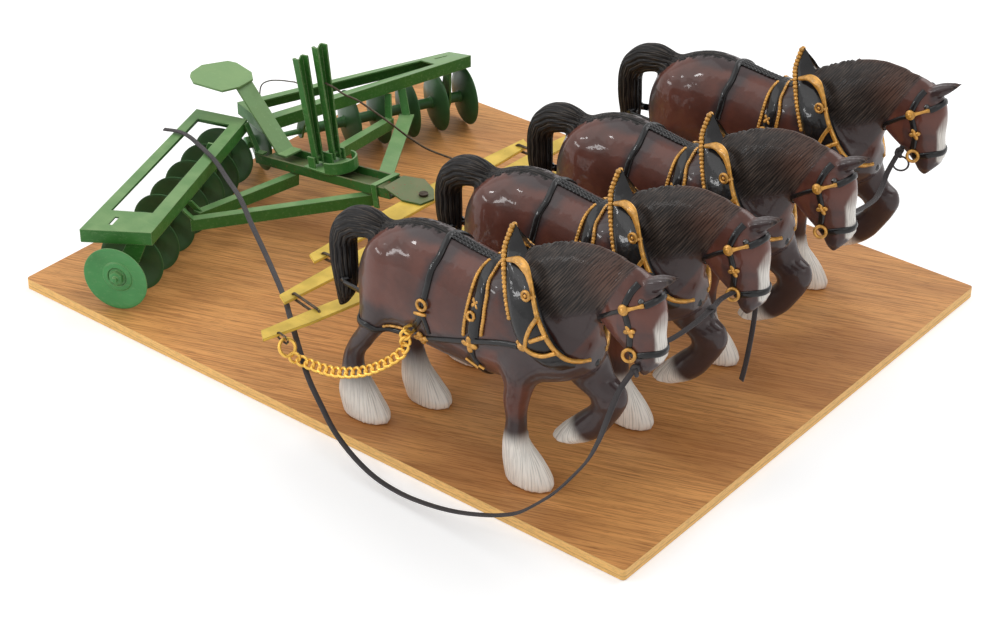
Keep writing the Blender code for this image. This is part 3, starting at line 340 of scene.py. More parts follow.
def hair_lines():
    """Engraved hair: fine strands along the flow coordinates, with painted shade in the grooves and painted
    highlights on the tips.
    """
    if "Hair lines" in bpy.data.node_groups:
        return bpy.data.node_groups["Hair lines"]
    takes = (("Flow", "Vector", None), ("Pitch", "Float", 1.4))
    gives = (("Height", "Float"), ("Groove shade", "Float"), ("Tip highlight", "Float"))
    tree, given, result = effect("Hair lines", takes, gives)
    long = stretched(tree, given["Flow"], (1.0, 0.075, 1.0))
    scale = calc(tree, "DIVIDE", 1.0, given["Pitch"])
    uneven = {"Vector": long, "Scale": scale, "Detail": 2.5, "Distortion": 0.4}
    locks = put(tree, "TexNoise", uneven).outputs["Fac"]
    waves = {
        "Vector": long, "Scale": calc(tree, "MULTIPLY", scale, 0.24), "Distortion": 5.0, "Detail": 1.5,
        "Detail Scale": 1.2,
    }
    combed = put(tree, "TexWave", waves).outputs["Fac"]
    combed = calc(tree, "MULTIPLY", calc(tree, "SUBTRACT", combed, 0.5), 0.2)
    locks = calc(tree, "ADD", scaled(tree, locks, 0.6, 0.2), combed)
    strands = noise(tree, long, 0.6, 2.0)
    tree.links.new(scaled(tree, strands, 0.4, locks), result["Height"])
    # masks for painted shade in the grooves and painted highlights on the ridges
    tree.links.new(between(tree, locks, 0.50, 0.38), result["Groove shade"])
    tree.links.new(between(tree, locks, 0.54, 0.68), result["Tip highlight"])
    return tree


def grouped(tree, group, sockets):
    """A node group with its sockets set or wired."""
    made = tree.nodes.new("ShaderNodeGroup")
    made.node_tree = group
    for key, value in sockets.items():
        if isinstance(value, bpy.types.NodeSocket):
            tree.links.new(value, made.inputs[key])
        else:
            made.inputs[key].default_value = value
    return made.outputs


def finish(name, sockets):
    """A material with its Principled BSDF, its plain sockets set."""
    material = bpy.data.materials.new(name)
    material.use_nodes = True
    shader = material.node_tree.nodes["Principled BSDF"]
    for key, value in sockets.items():
        shader.inputs[key].default_value = (*value, 1) if hasattr(value, "__len__") else value
    return material, material.node_tree, shader


def wire_in(tree, shader, sockets):
    """Wires what varies into the Principled BSDF."""
    for key, value in sockets.items():
        tree.links.new(value, shader.inputs[key])


def horse_finish():
    """The horses' glossy coat with mane, tail and pale feather, from the masks that their mesh keeps."""
    look = colours()
    material, tree, shader = finish("moulded_horse", {"Coat Roughness": 0.08, "Specular IOR Level": 0.2})
    place, flow = attribute(tree, "horse_place"), attribute(tree, "hair_flow")
    masks = put(tree, "SeparateColor", {"Color": attribute(tree, "horse_paint", "Color")}).outputs
    shade, pale, hair = masks["Red"], masks["Green"], masks["Blue"]
    red, mane, _ = put(tree, "SeparateXYZ", {0: attribute(tree, "mane_red")}).outputs
    patches = grouped(tree, blotches(), {"Place": place, "Patch": 26.0})
    lines = grouped(tree, hair_lines(), {"Flow": flow, "Pitch": 0.95})
    colour = mixed(tree, patches["Soft"], shaded(look.coat, 1.25), shaded(look.coat, 0.5), 0.75)
    uneven = noise(tree, place, 9.0, 4.0, 0.6)
    soft_edge = scaled(tree, uneven, 0.8, calc(tree, "SUBTRACT", shade, 0.4))
    colour = mixed(tree, between(tree, soft_edge, 0.0, 0.75), colour, look.coat_shade)
    colour = mixed(tree, patches["Specks"], colour, COAT_DUST, 0.22)
    # painted shade in the hair's grooves and painted highlights on its tips
    dark_hair = mixed(tree, lines["Groove shade"], look.hair, shaded(look.hair, 0.25))
    dark_hair = mixed(tree, lines["Tip highlight"], dark_hair, HAIR_TIP_HIGHLIGHT, 0.55)
    mane_hair = mixed(tree, lines["Groove shade"], MANE, MANE_GROOVE_SHADE)
    mane_hair = mixed(tree, lines["Tip highlight"], mane_hair, MANE_TIP_HIGHLIGHT, 0.4)
    dark_hair = mixed(tree, mane, dark_hair, mane_hair, 0.85)
    reddish = mixed(tree, lines["Groove shade"], RED_HAIR, RED_GROOVE_SHADE)
    dark_hair = mixed(tree, red, dark_hair, reddish, 0.8)
    colour = mixed(tree, hair, colour, dark_hair)
    # painted shade in the grooves of the pale feather
    pale_hair = mixed(tree, lines["Groove shade"], look.feather, FEATHER_GROOVE_SHADE, 0.34)
    pale_hair = mixed(tree, patches["Soft"], pale_hair, FEATHER_STAIN, 0.15)
    colour = mixed(tree, pale, colour, pale_hair)
    furred = calc(tree, "MAXIMUM", hair, pale)
    engraved = calc(tree, "SUBTRACT", furred, calc(tree, "MULTIPLY", mane, 0.55))
    ripple = calc(tree, "MULTIPLY", lines["Height"], engraved)
    relief = bump(tree, noise(tree, place, 7.0, 2.0), 0.5, 0.5)
    relief = bump(tree, noise(tree, place, 1.3, 3.0), 0.05, 0.12, relief)
    relief = bump(tree, ripple, 0.9, 0.55, relief)
    wire_in(tree, shader, {
        "Base Color": colour, "Roughness": scaled(tree, furred, 0.06, 0.42),
        "Coat Weight": scaled(tree, hair, -0.4, 0.48), "Normal": relief, "Coat Normal": relief,
    })
    return material


def harness_finish():
    """Black gloss of the moulded straps and collars, with brown specks."""
    look = colours()
    gloss = {"Coat Weight": 0.5, "Coat Roughness": 0.08, "Specular IOR Level": 0.15}
    material, tree, shader = finish("black_harness", gloss)
    place = attribute(tree, "horse_place")
    patches = grouped(tree, blotches(), {"Place": place, "Patch": 7.0})
    colour = mixed(tree, patches["Soft"], look.harness, shaded(look.harness, 1.8))
    colour = mixed(tree, patches["Specks"], colour, HARNESS_WEAR, 0.35)
    relief = bump(tree, noise(tree, place, 3.4, 2.0), 0.35, 0.5)
    rough = scaled(tree, patches["Soft"], 0.12, 0.34)
    wire_in(tree, shader, {"Base Color": colour, "Roughness": rough, "Normal": relief, "Coat Normal": relief})
    return material


def gilt_finish():
    """Gold paint of the harness fittings, with dark specks."""
    look = colours()
    gloss = {"Metallic": 0.35, "Coat Weight": 0.3, "Coat Roughness": 0.1}
    material, tree, shader = finish("gold_paint", gloss)
    place = attribute(tree, "horse_place")
    patches = grouped(tree, blotches(), {"Place": place, "Patch": 3.0})
    colour = mixed(tree, patches["Soft"], look.gilt, shaded(look.gilt, 0.6))
    colour = mixed(tree, patches["Specks"], colour, GILT_WEAR, 0.5)
    relief = bump(tree, noise(tree, place, 0.8, 2.0), 0.3, 0.2)
    rough = scaled(tree, patches["Soft"], 0.15, 0.3)
    wire_in(tree, shader, {"Base Color": colour, "Roughness": rough, "Normal": relief})
    return material


def paint_finish(name, colour, worn, under, amount=0.5, gloss=0.42, chips=0.3, top_light_and_wear=0.35):
    """Brushed paint on sheet metal, thin on its edges and chipped to what lies under it."""
    varnish = {"Coat Weight": 0.05, "Coat Roughness": 0.25, "Specular IOR Level": 0.3}
    material, tree, shader = finish(name, varnish)
    place = in_mm(tree)
    wear = grouped(tree, edge_wear(), {"Place": place, "Reach": 0.0007, "Amount": amount})
    patches = grouped(tree, blotches(), {"Place": place, "Patch": 16.0})
    streaks = noise(tree, stretched(tree, place, (0.25, 1.0, 1.0), (0, 0, 20)), 1.5, 4.0, 0.6)
    paint = mixed(tree, patches["Soft"], colour, shaded(colour, 0.68), 0.5)
    paint = mixed(tree, between(tree, streaks, 0.5, 0.75), paint, worn, 0.2)
    # upward faces turn towards the worn colour: painted light from above where that colour is paler, as on
    # the green paints, and darker tops on the yellow bars
    up = upright(tree, put(tree, "NewGeometry").outputs["Normal"])
    top_share = scaled(tree, patches["Soft"], 0.3, top_light_and_wear)
    paint = mixed(tree, between(tree, up, 0.4, 0.95), paint, worn, top_share)
    paint = mixed(tree, wear["Bare"], paint, worn, 0.8)
    chip = noise(tree, place, 2.2, 6.0, 0.7, 0.4)
    chip = calc(tree, "MULTIPLY", between(tree, chip, 0.72 - 0.14 * chips, 0.76 - 0.14 * chips), 0.85)
    paint = mixed(tree, chip, paint, under)
    relief = bump(tree, streaks, 0.15, 0.15, wear["Rounded"])
    relief = bump(tree, chip, -0.5, 0.1, relief)
    rough = scaled(tree, patches["Soft"], 0.15, gloss)
    wire_in(tree, shader, {"Base Color": paint, "Roughness": rough, "Normal": relief})
    return material


def metal_finish(name, colour, rough, dull, metallic=1.0):
    """Bare metal, darkened in patches as far as dull says."""
    material, tree, shader = finish(name, {"Metallic": metallic})
    place = in_mm(tree)
    patches = grouped(tree, blotches(), {"Place": place, "Patch": 2.5})
    shade = mixed(tree, patches["Soft"], colour, shaded(colour, 0.4), dull)
    uneven = scaled(tree, patches["Soft"], 0.2, rough)
    relief = bump(tree, noise(tree, place, 0.5, 2.0), 0.15, 0.1)
    wire_in(tree, shader, {"Base Color": shade, "Roughness": uneven, "Normal": relief})
    return material


def lace_finish():
    """Flat lace with a cross weave that follows it, from its own lace_run attribute."""
    look = colours()
    material, tree, shader = finish("flat_lace", {"Sheen Weight": 0.06, "Sheen Roughness": 0.5})
    ribs = {"Vector": attribute(tree, "lace_run"), "Scale": 0.9, "Distortion": 0.6, "Detail": 1.0}
    weave = put(tree, "TexWave", ribs).outputs["Fac"]
    patches = grouped(tree, blotches(), {"Place": in_mm(tree), "Patch": 9.0})
    colour = mixed(tree, patches["Soft"], look.lace, shaded(look.lace, 0.55))
    # painted highlight: the weave's raised ribs are painted lighter
    colour = mixed(tree, weave, colour, shaded(look.lace, 1.5), 0.35)
    rough = scaled(tree, weave, 0.12, 0.55)
    relief = bump(tree, weave, 0.5, 0.2)
    wire_in(tree, shader, {"Base Color": colour, "Roughness": rough, "Normal": relief})
    return material


def board_finish():
    """Stained plywood: streaks and pores along the board, its plies at the edge."""
    look = colours()
    varnish = {"Coat Weight": 0.05, "Coat Roughness": 0.3, "Specular IOR Level": 0.3}
    material, tree, shader = finish("stained_plywood", varnish)
    place = in_mm(tree)
    grain = stretched(tree, place, (1.0, 1.0, 1.0), (0, 0, -20))
    figure = noise(tree, stretched(tree, grain, (0.05, 0.8, 0.8)), 6.0, 5.0, 0.65, 0.3)
    lines = noise(tree, stretched(tree, grain, (0.032, 1.0, 1.0)), 0.95, 3.0, 0.6, 0.1)
    pores = noise(tree, stretched(tree, grain, (0.07, 1.4, 1.4)), 0.75, 2.0, 0.6)
    broad = noise(tree, stretched(tree, grain, (0.35, 1.0, 1.0)), 46.0, 3.0)
    nicks = noise(tree, stretched(tree, grain, (0.3, 1.0, 1.0)), 6.0, 8.0, 0.8)
    light = tuple(min(c, 1) for c in shaded(look.board, 1.28))
    colour = mixed(tree, between(tree, figure, 0.35, 0.68), light, look.board)
    streak = calc(tree, "MULTIPLY", between(tree, lines, 0.47, 0.62), 0.52)
    colour = mixed(tree, streak, colour, look.board_streak)
    colour = mixed(tree, between(tree, broad, 0.48, 0.66), colour, look.board_streak, 0.5)
    pore = between(tree, pores, 0.60, 0.66)
    colour = mixed(tree, pore, colour, shaded(look.board_streak, 0.35), 0.42)
    colour = mixed(tree, between(tree, nicks, 0.69, 0.74), colour, BOARD_NICK, 0.5)
    fibres = noise(tree, stretched(tree, place, (0.3, 0.3, 2.2)), 1.3, 4.0, 0.7)
    ply = mixed(tree, between(tree, fibres, 0.4, 0.7), look.board_edge, shaded(look.board_edge, 0.72))
    glue = calc(tree, "SUBTRACT", calc(tree, "PINGPONG", upright(tree, place), PLY_THICK), 2.1)
    glue = between(tree, calc(tree, "ABSOLUTE", glue), 0.28, 0.1)
    ply = mixed(tree, glue, ply, shaded(look.board_streak, 0.3), 0.3)
    up = calc(tree, "ABSOLUTE", upright(tree, put(tree, "NewGeometry").outputs["Normal"]))
    colour = mixed(tree, between(tree, up, 0.8, 0.4), colour, ply)
    relief = bump(tree, lines, 0.12, 0.25)
    relief = bump(tree, pore, -0.3, 0.2, relief)
    rough = scaled(tree, streak, 0.12, 0.46)
    wire_in(tree, shader, {"Base Color": colour, "Roughness": rough, "Normal": relief})
    return material


# Shapes, in millimetres until they are placed


def turns(count):
    """Even angles round a full turn."""
    return [2 * math.pi * i / count for i in range(count)]


def curved(a, b, c, d, t):
    """The place at t of a smooth curve from b to c, led by their neighbours a and d."""
    bend = (2 * a - 5 * b + 4 * c - d) * t**2
    turn = (3 * b - a - 3 * c + d) * t**3
    return 0.5 * (2 * b + (c - a) * t + bend + turn)


def smooth_line(points, steps):
    """Points along a smooth curve through the given ones, at even distances."""
    points = [Vector(point) for point in points]
    ends = [points[0] * 2 - points[1], *points, points[-1] * 2 - points[-2]]
    fine = []
    for a, b, c, d in zip(ends, ends[1:], ends[2:], ends[3:]):
        fine += [curved(a, b, c, d, i / FINE_STEPS) for i in range(FINE_STEPS)]
    fine.append(points[-1])
    reach = [0.0]
    for a, b in zip(fine, fine[1:]):
        reach.append(reach[-1] + (b - a).length)
    found, i = [], 0
    for step in range(steps + 1):
        wanted = reach[-1] * step / steps
        while i < len(fine) - 2 and reach[i + 1] < wanted:
            i += 1
        share = (wanted - reach[i]) / max(reach[i + 1] - reach[i], 1e-9)
        found.append(fine[i].lerp(fine[i + 1], min(share, 1.0)))
    return found


def run_length(points):
    """The length of a line."""
    return sum((b - a).length for a, b in zip(points, points[1:]))


def skin(rings, closed=False):
    """One skin over rings of points, from a grid that is rolled into a tube and has its ends filled."""
    if closed:
        rings = [*rings, rings[0]]
    around = len(rings[0])
    made = bmesh.new()
    bmesh.ops.create_grid(made, x_segments=around, y_segments=len(rings) - 1, size=1)
    made.verts.ensure_lookup_table()
    for row, ring in enumerate(rings):
        for k in range(around + 1):
            made.verts[row * (around + 1) + k].co = ring[k % around]
    bmesh.ops.remove_doubles(made, verts=made.verts, dist=1e-5)
    open_edges = [edge for edge in made.edges if edge.is_boundary]
    if open_edges:
        bmesh.ops.holes_fill(made, edges=open_edges, sides=0)
    bmesh.ops.recalc_face_normals(made, faces=made.faces)
    return made


def frames_along(line, up=UP, closed=False):
    """The way along a line at each point, and two ways square to it that turn no more than they must."""
    count = len(line)
    up = Vector(up)
    found = []
    for i, point in enumerate(line):
        before = line[i - 1] if closed or i else point
        after = line[(i + 1) % count] if closed or i < count - 1 else point
        along = (after - before).normalized()
        side = along.cross(up)
        if side.length < 0.2 and found:
            side = found[-1][1]
        side = (side - along * side.dot(along)).normalized()
        up = side.cross(along)
        found.append((along, side, up))
    return found


def tube(line, radius, sides=8, closed=False, up=UP):
    """A round wire; radius is one number or one for each point."""
    radii = radius if hasattr(radius, "__len__") else [radius] * len(line)
    rings = []
    for point, thick, (_, side, rise) in zip(line, radii, frames_along(line, up, closed)):
        rings.append([point + (side * math.cos(a) + rise * math.sin(a)) * thick for a in turns(sides)])
    return skin(rings, closed)


def ribbon(line, width, thick):
    """A flat lace with rounded edges; its flat side faces up as far as it can."""
    section = (
        (-1, -0.35), (-0.9, -1), (0.9, -1), (1, -0.35), (1, 0.35), (0.9, 1), (0, 1.1), (-0.9, 1), (-1, 0.35),
    )
    rings, last = [], None
    for i, point in enumerate(line):
        along = (line[min(i + 1, len(line) - 1)] - line[max(i - 1, 0)]).normalized()
        side = along.cross(UP)
        side = side.normalized() if side.length > 0.25 or last is None else last
        if last is not None:
            side = (side + last * 1.5).normalized()
        side = (side - along * side.dot(along)).normalized()
        last = side
        rise = side.cross(along)
        rings.append([point + side * (a * width / 2) + rise * (b * thick / 2) for a, b in section])
    return skin(rings)


def ball(centre, radius, detail=2, stretch=(1, 1, 1), turn=None):
    """A ball, stretched along the axes of its turn."""
    made = bmesh.new()
    turn = turn or Matrix()
    matrix = Matrix.Translation(centre) @ turn @ Matrix.Diagonal((*stretch, 1))
    bmesh.ops.create_icosphere(made, subdivisions=detail, radius=radius, matrix=matrix)
    return made


def circle(centre, radius, first, second, count=16):
    """Points round a circle that lies along two ways."""
    return [centre + (first * math.cos(a) + second * math.sin(a)) * radius for a in turns(count)]


def gather(parts):
    """Several shapes in one bmesh."""
    whole = bmesh.new()
    for part in parts:
        holder = bpy.data.meshes.new("part")
        part.to_mesh(holder)
        part.free()
        whole.from_mesh(holder)
        bpy.data.meshes.remove(holder)
    return whole


def mirrored(parts):
    """The same shapes with their mirror images across the horse's middle."""
    whole = gather(parts)
    geom = whole.verts[:] + whole.edges[:] + whole.faces[:]
    bmesh.ops.mirror(whole, geom=geom, matrix=Matrix(), merge_dist=-1, axis="Y")
    bmesh.ops.recalc_face_normals(whole, faces=whole.faces)
    return whole


def mesh_of(name, made):
    """A mesh from a shape, which is freed."""
    data = bpy.data.meshes.new(name)
    made.to_mesh(data)
    made.free()
    data.shade_smooth()
    return data


def put_attribute(data, name, values):
    """Keeps a vector, or a colour of four numbers, for each point of a mesh."""
    kind = "FLOAT_COLOR" if values.shape[1] == 4 else "FLOAT_VECTOR"
    field = "color" if kind == "FLOAT_COLOR" else "vector"
    made = data.attributes.new(name, kind, "POINT")
    made.data.foreach_set(field, values.astype(np.float32).ravel())


def points_of(data):
    """The points of a mesh as rows of numbers."""
    points = np.zeros(len(data.vertices) * 3, np.float32)
    data.vertices.foreach_get("co", points)
    return points.reshape(-1, 3).astype(float)


def piece(name, data, matrix, material, body, stands_for=(), sharp=None):
    """Puts a mesh in millimetres in its place, in metres, and lets it ride on its body."""
    data = data.copy()
    data.name = name
    data.transform(Matrix.Diagonal((MM, MM, MM, 1)) @ matrix)
    if sharp is not None:
        data.set_sharp_from_angle(angle=math.radians(sharp))
    data.materials.clear()
    data.materials.append(material)
    made = bpy.data.objects.new(name, data)
    bpy.context.scene.collection.objects.link(made)
    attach(made, body)
    if stands_for:
        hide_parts(*stands_for)
    return made


def standing(x, y, z, yaw):
    """A place with a turn round the upright axis, in degrees."""
    return Matrix.Translation((x, y, z)) @ Matrix.Rotation(math.radians(yaw), 4, "Z")


def horse_frame(number):
    """Where a horse stands."""
    x, y, yaw = HORSE_SPOTS[number]
    return standing(x, y, BOARD_THICK + GAP, yaw)


# Horses

# Each form is a row of ovals, from an upper to a lower point, with its side place and half width
BARREL = tuple(((x, top), (x, low), 0, half) for x, top, low, half in (
    (24, 91, 74, 7), (26.5, 98, 64, 12.5), (32.5, 107, 56, 18), (45, 115.5, 52, 21), (62, 120.5, 53, 20.5),
    (82, 119, 52, 19.5), (102, 116.5, 52, 19.5), (122, 116, 56, 20), (142, 112, 62, 19), (158, 104, 70, 15),
    (167, 95, 78, 8),
))
NECK = (
    ((112, 114), (150, 74), 0, 16), ((121, 125), (162, 82), 0, 15), ((133, 133.5), (166, 91), 0, 12.5),
    ((147.5, 140.5), (168, 101), 0, 10.2), ((163, 144.5), (171, 109), 0, 8.8),
    ((179, 143.5), (176, 112), 0, 8.2),
)
HEAD = (
    ((176, 142.5), (166, 113), 0, 7.2), ((190, 141), (169, 108), 0, 9.5),
    ((200.5, 133.5), (175, 103.5), 0, 10.5), ((203.5, 123), (183, 98), 0, 9.2),
    ((203.5, 112), (188.5, 93), 0, 7.4), ((204.5, 103), (191.5, 89.5), 0, 7.4),
    ((203, 96), (195, 87.5), 0, 5.8),
)
TAIL = (
    ((45, 111), (40, 100), 0, 5), ((35.5, 112), (32, 101), 0, 6), ((26, 115), (25.5, 98), 0, 7),
    ((14, 112.8), (18, 95.5), 0, 7.6), ((3.6, 104.4), (13.5, 92.5), 0, 8), ((-1, 94), (12.5, 87.5), 0, 8),
    ((-1.4, 80), (13, 79), 0, 7.8), ((0.3, 67), (13.2, 68), 0, 6.8), ((1.2, 57), (12.2, 60), 0, 5.2),
    ((1.8, 49), (7, 52), 0, 2.6),
)
LEGS = {
    "right_fore": (
        ((114, 88), (152, 92), -8, 11), ((115, 70), (147, 77), -9.5, 10.5),
        ((120, 58), (137.5, 62), -10, 7.8), ((119.6, 47), (132.4, 47), -10, 6),
        ((120.4, 36), (131.2, 36), -9.5, 5.3), ((118, 24), (132, 24), -8.5, 6.4),
        ((116.5, 12), (140.5, 13), -6.8, 8.2), ((117, 4), (145.5, 4), -5.8, 8.9),
        ((118, 0), (145, 0), -5.8, 8.5),
    ),
    "left_fore": (
        ((122, 84), (158, 92), 8, 10), ((135, 68), (164, 80), 10, 9.5), ((146, 58), (168, 68), 11, 8),
        ((154.5, 54), (174.5, 64), 11, 6.8), ((156.5, 50.5), (176.5, 57), 11, 6.2),
        ((154.5, 46.5), (173.5, 49), 11, 5.4), ((150, 42), (168.5, 40.5), 11, 5.4),
        ((145, 36.5), (163, 32.5), 11.5, 6.6), ((138.5, 29.5), (156, 26), 12, 7.4),
        ((132.5, 21.5), (148.5, 22), 12, 7.2),
    ),
    "right_hind": (
        ((30, 88), (62, 96), -9, 11.5), ((28.5, 72), (57, 76), -11, 11), ((29.5, 58), (45, 58), -13, 8),
        ((24, 47), (35.5, 46), -15, 5.8), ((19.8, 38), (30.8, 37), -15.5, 5.2),
        ((17.6, 28.5), (30.5, 28.5), -15.2, 5.8), ((15.6, 20), (35, 20), -14.4, 7.2),
        ((13.5, 12), (39.5, 13), -13.6, 8.2), ((14.5, 4), (44.5, 4), -12.6, 8.9),
        ((15.5, 0), (44, 0), -12.6, 8.5),
    ),
    "left_hind": (
        ((30, 88), (66, 96), 9, 11), ((30, 70), (64, 77), 11, 10.5), ((34, 58), (55, 59), 13, 7.8),
        ((34, 47), (47.5, 46), 14, 6), ((32.8, 34), (43.6, 34), 15, 5.4), ((31, 22), (47, 20), 16.2, 6.8),
        ((29.5, 11), (54.5, 11), 17.4, 8.2), ((31.5, 4), (60, 4), 18, 8.9), ((32.5, 0), (59.5, 0), 18, 8.5),
    ),
}
# Rounder muscles and cheeks: centre, radius, stretch
MUSCLES = (
    ((138, 9.0, 92), 10.5, (1.5, 1.0, 2.2)), ((45, 9.8, 88), 11.0, (1.45, 1.0, 2.1)),
    ((67, 11.6, 69.5), 7.0, (1.5, 0.95, 1.15)), ((180, 3.6, 117), 5.8, (1.7, 1.0, 1.9)),
    ((118, 9.5, 98), 10.0, (1.6, 1.0, 1.7)),
)


def more_rows(rows, parts):
    """Rows between the given ones, on smooth curves through them."""
    table = np.array([[*top, *low, side, half] for top, low, side, half in rows], float)
    ends = np.vstack([table[0] * 2 - table[1], table, table[-1] * 2 - table[-2]])
    found = []
    for a, b, c, d in zip(ends, ends[1:], ends[2:], ends[3:]):
        found += [curved(a, b, c, d, i / parts) for i in range(parts)]
    return [*found, table[-1]]


def form(rows, sides=28, parts=5):
    """A closed form through a row of ovals."""
    rings = []
    for x_top, z_top, x_low, z_low, side, half in more_rows(rows, parts):
        top, low = Vector((x_top, side, z_top)), Vector((x_low, side, z_low))
        middle, reach = (top + low) / 2, (top - low) / 2
        rings.append([
            middle + reach * math.cos(a) + Vector((0, max(half, 0.5) * math.sin(a), 0)) for a in turns(sides)
        ])
    return skin(rings)


def ear_form(side):
    """A short thick ear that lies forward against its fellow."""
    rings = []
    for share, wide in ((-0.3, 1.0), (0, 1.0), (0.3, 0.84), (0.6, 0.56), (0.85, 0.3), (1, 0.14)):
        middle = Vector((199.0, 2.1 * side, 138.2)).lerp(Vector((209.6, 1.4 * side, 144.4)), share)
        across = Vector((0.1, 1, 0)) * 2.7 * wide
        rise = Vector((-0.52, 0, 0.86)) * 3.4 * wide
        rings.append([middle + across * math.cos(a) + rise * math.sin(a) for a in turns(12)])
    return skin(rings)


def relaxed(points, edges, rounds, share, weight=None):
    """Moves each point towards the middle of its neighbours."""
    first, second = edges[:, 0], edges[:, 1]
    count = np.bincount(np.r_[first, second], minlength=len(points))[:, None]
    for _ in range(rounds):
        total = np.column_stack([
            np.bincount(np.r_[first, second], weights=np.r_[points[second, k], points[first, k]],
                        minlength=len(points)) for k in range(3)
        ])
        step = (total / np.maximum(count, 1) - points) * share
        points = points + (step if weight is None else step * weight[:, None])
    return points


def ramp(values, low, high):
    """0 at low and 1 at high, smooth between them; low may be the greater one."""
    t = np.clip((values - low) / (high - low), 0, 1)
    return t * t * (3 - 2 * t)


def near_line(points, start, end):
    """Distance from a line between two points, and the share along it."""
    start, end = np.array(start, float), np.array(end, float)
    way = end - start
    share = np.clip((points - start) @ way / (way @ way), 0, 1)
    return np.linalg.norm(points - start - share[:, None] * way, axis=1), share


# The tail's middle line, over the length and the height of the horse
TAIL_LINE = (
    (46, 105), (35, 107), (26, 106.6), (15.5, 104), (8.2, 98.6), (5.6, 90), (5.8, 79.6), (6.9, 67), (6.8, 57),
    (5, 47),
)


def along_tail(x, y, z):
    """Distance out from the tail's middle line, the way round it and the distance along it."""
    best, around, run = np.full(len(x), 1e9), np.zeros(len(x)), np.zeros(len(x))
    gone = 0.0
    for (x1, z1), (x2, z2) in zip(TAIL_LINE, TAIL_LINE[1:]):
        way = np.array((x2 - x1, z2 - z1))
        long = np.hypot(*way)
        way = way / long
        share = np.clip((x - x1) * way[0] + (z - z1) * way[1], 0, long)
        off_x, off_z = x - x1 - way[0] * share, z - z1 - way[1] * share
        off = off_x * way[1] - off_z * way[0]
        apart = np.hypot(np.hypot(off_x, off_z), y)
        nearer = apart < best
        best = np.where(nearer, apart, best)
        around = np.where(nearer, np.arctan2(y, off), around)
        run = np.where(nearer, gone + share, run)
        gone += long
    return best, around, run


# Lines beside which the coat is darkened, over the length and the height of the horse
STRAP_SHADES = (
    (((85, 119), (79, 108), (75, 94), (72, 79), (73, 68)), 5.0), (((63, 65), (98, 75), (132, 86)), 4.0),
    (((119, 118), (108, 100), (104, 80), (104, 66)), 7.0), (((27, 61), (44, 60), (63, 65)), 4.0),
    (((118, 128), (124, 111), (133, 95), (150, 82)), 7.0),
)


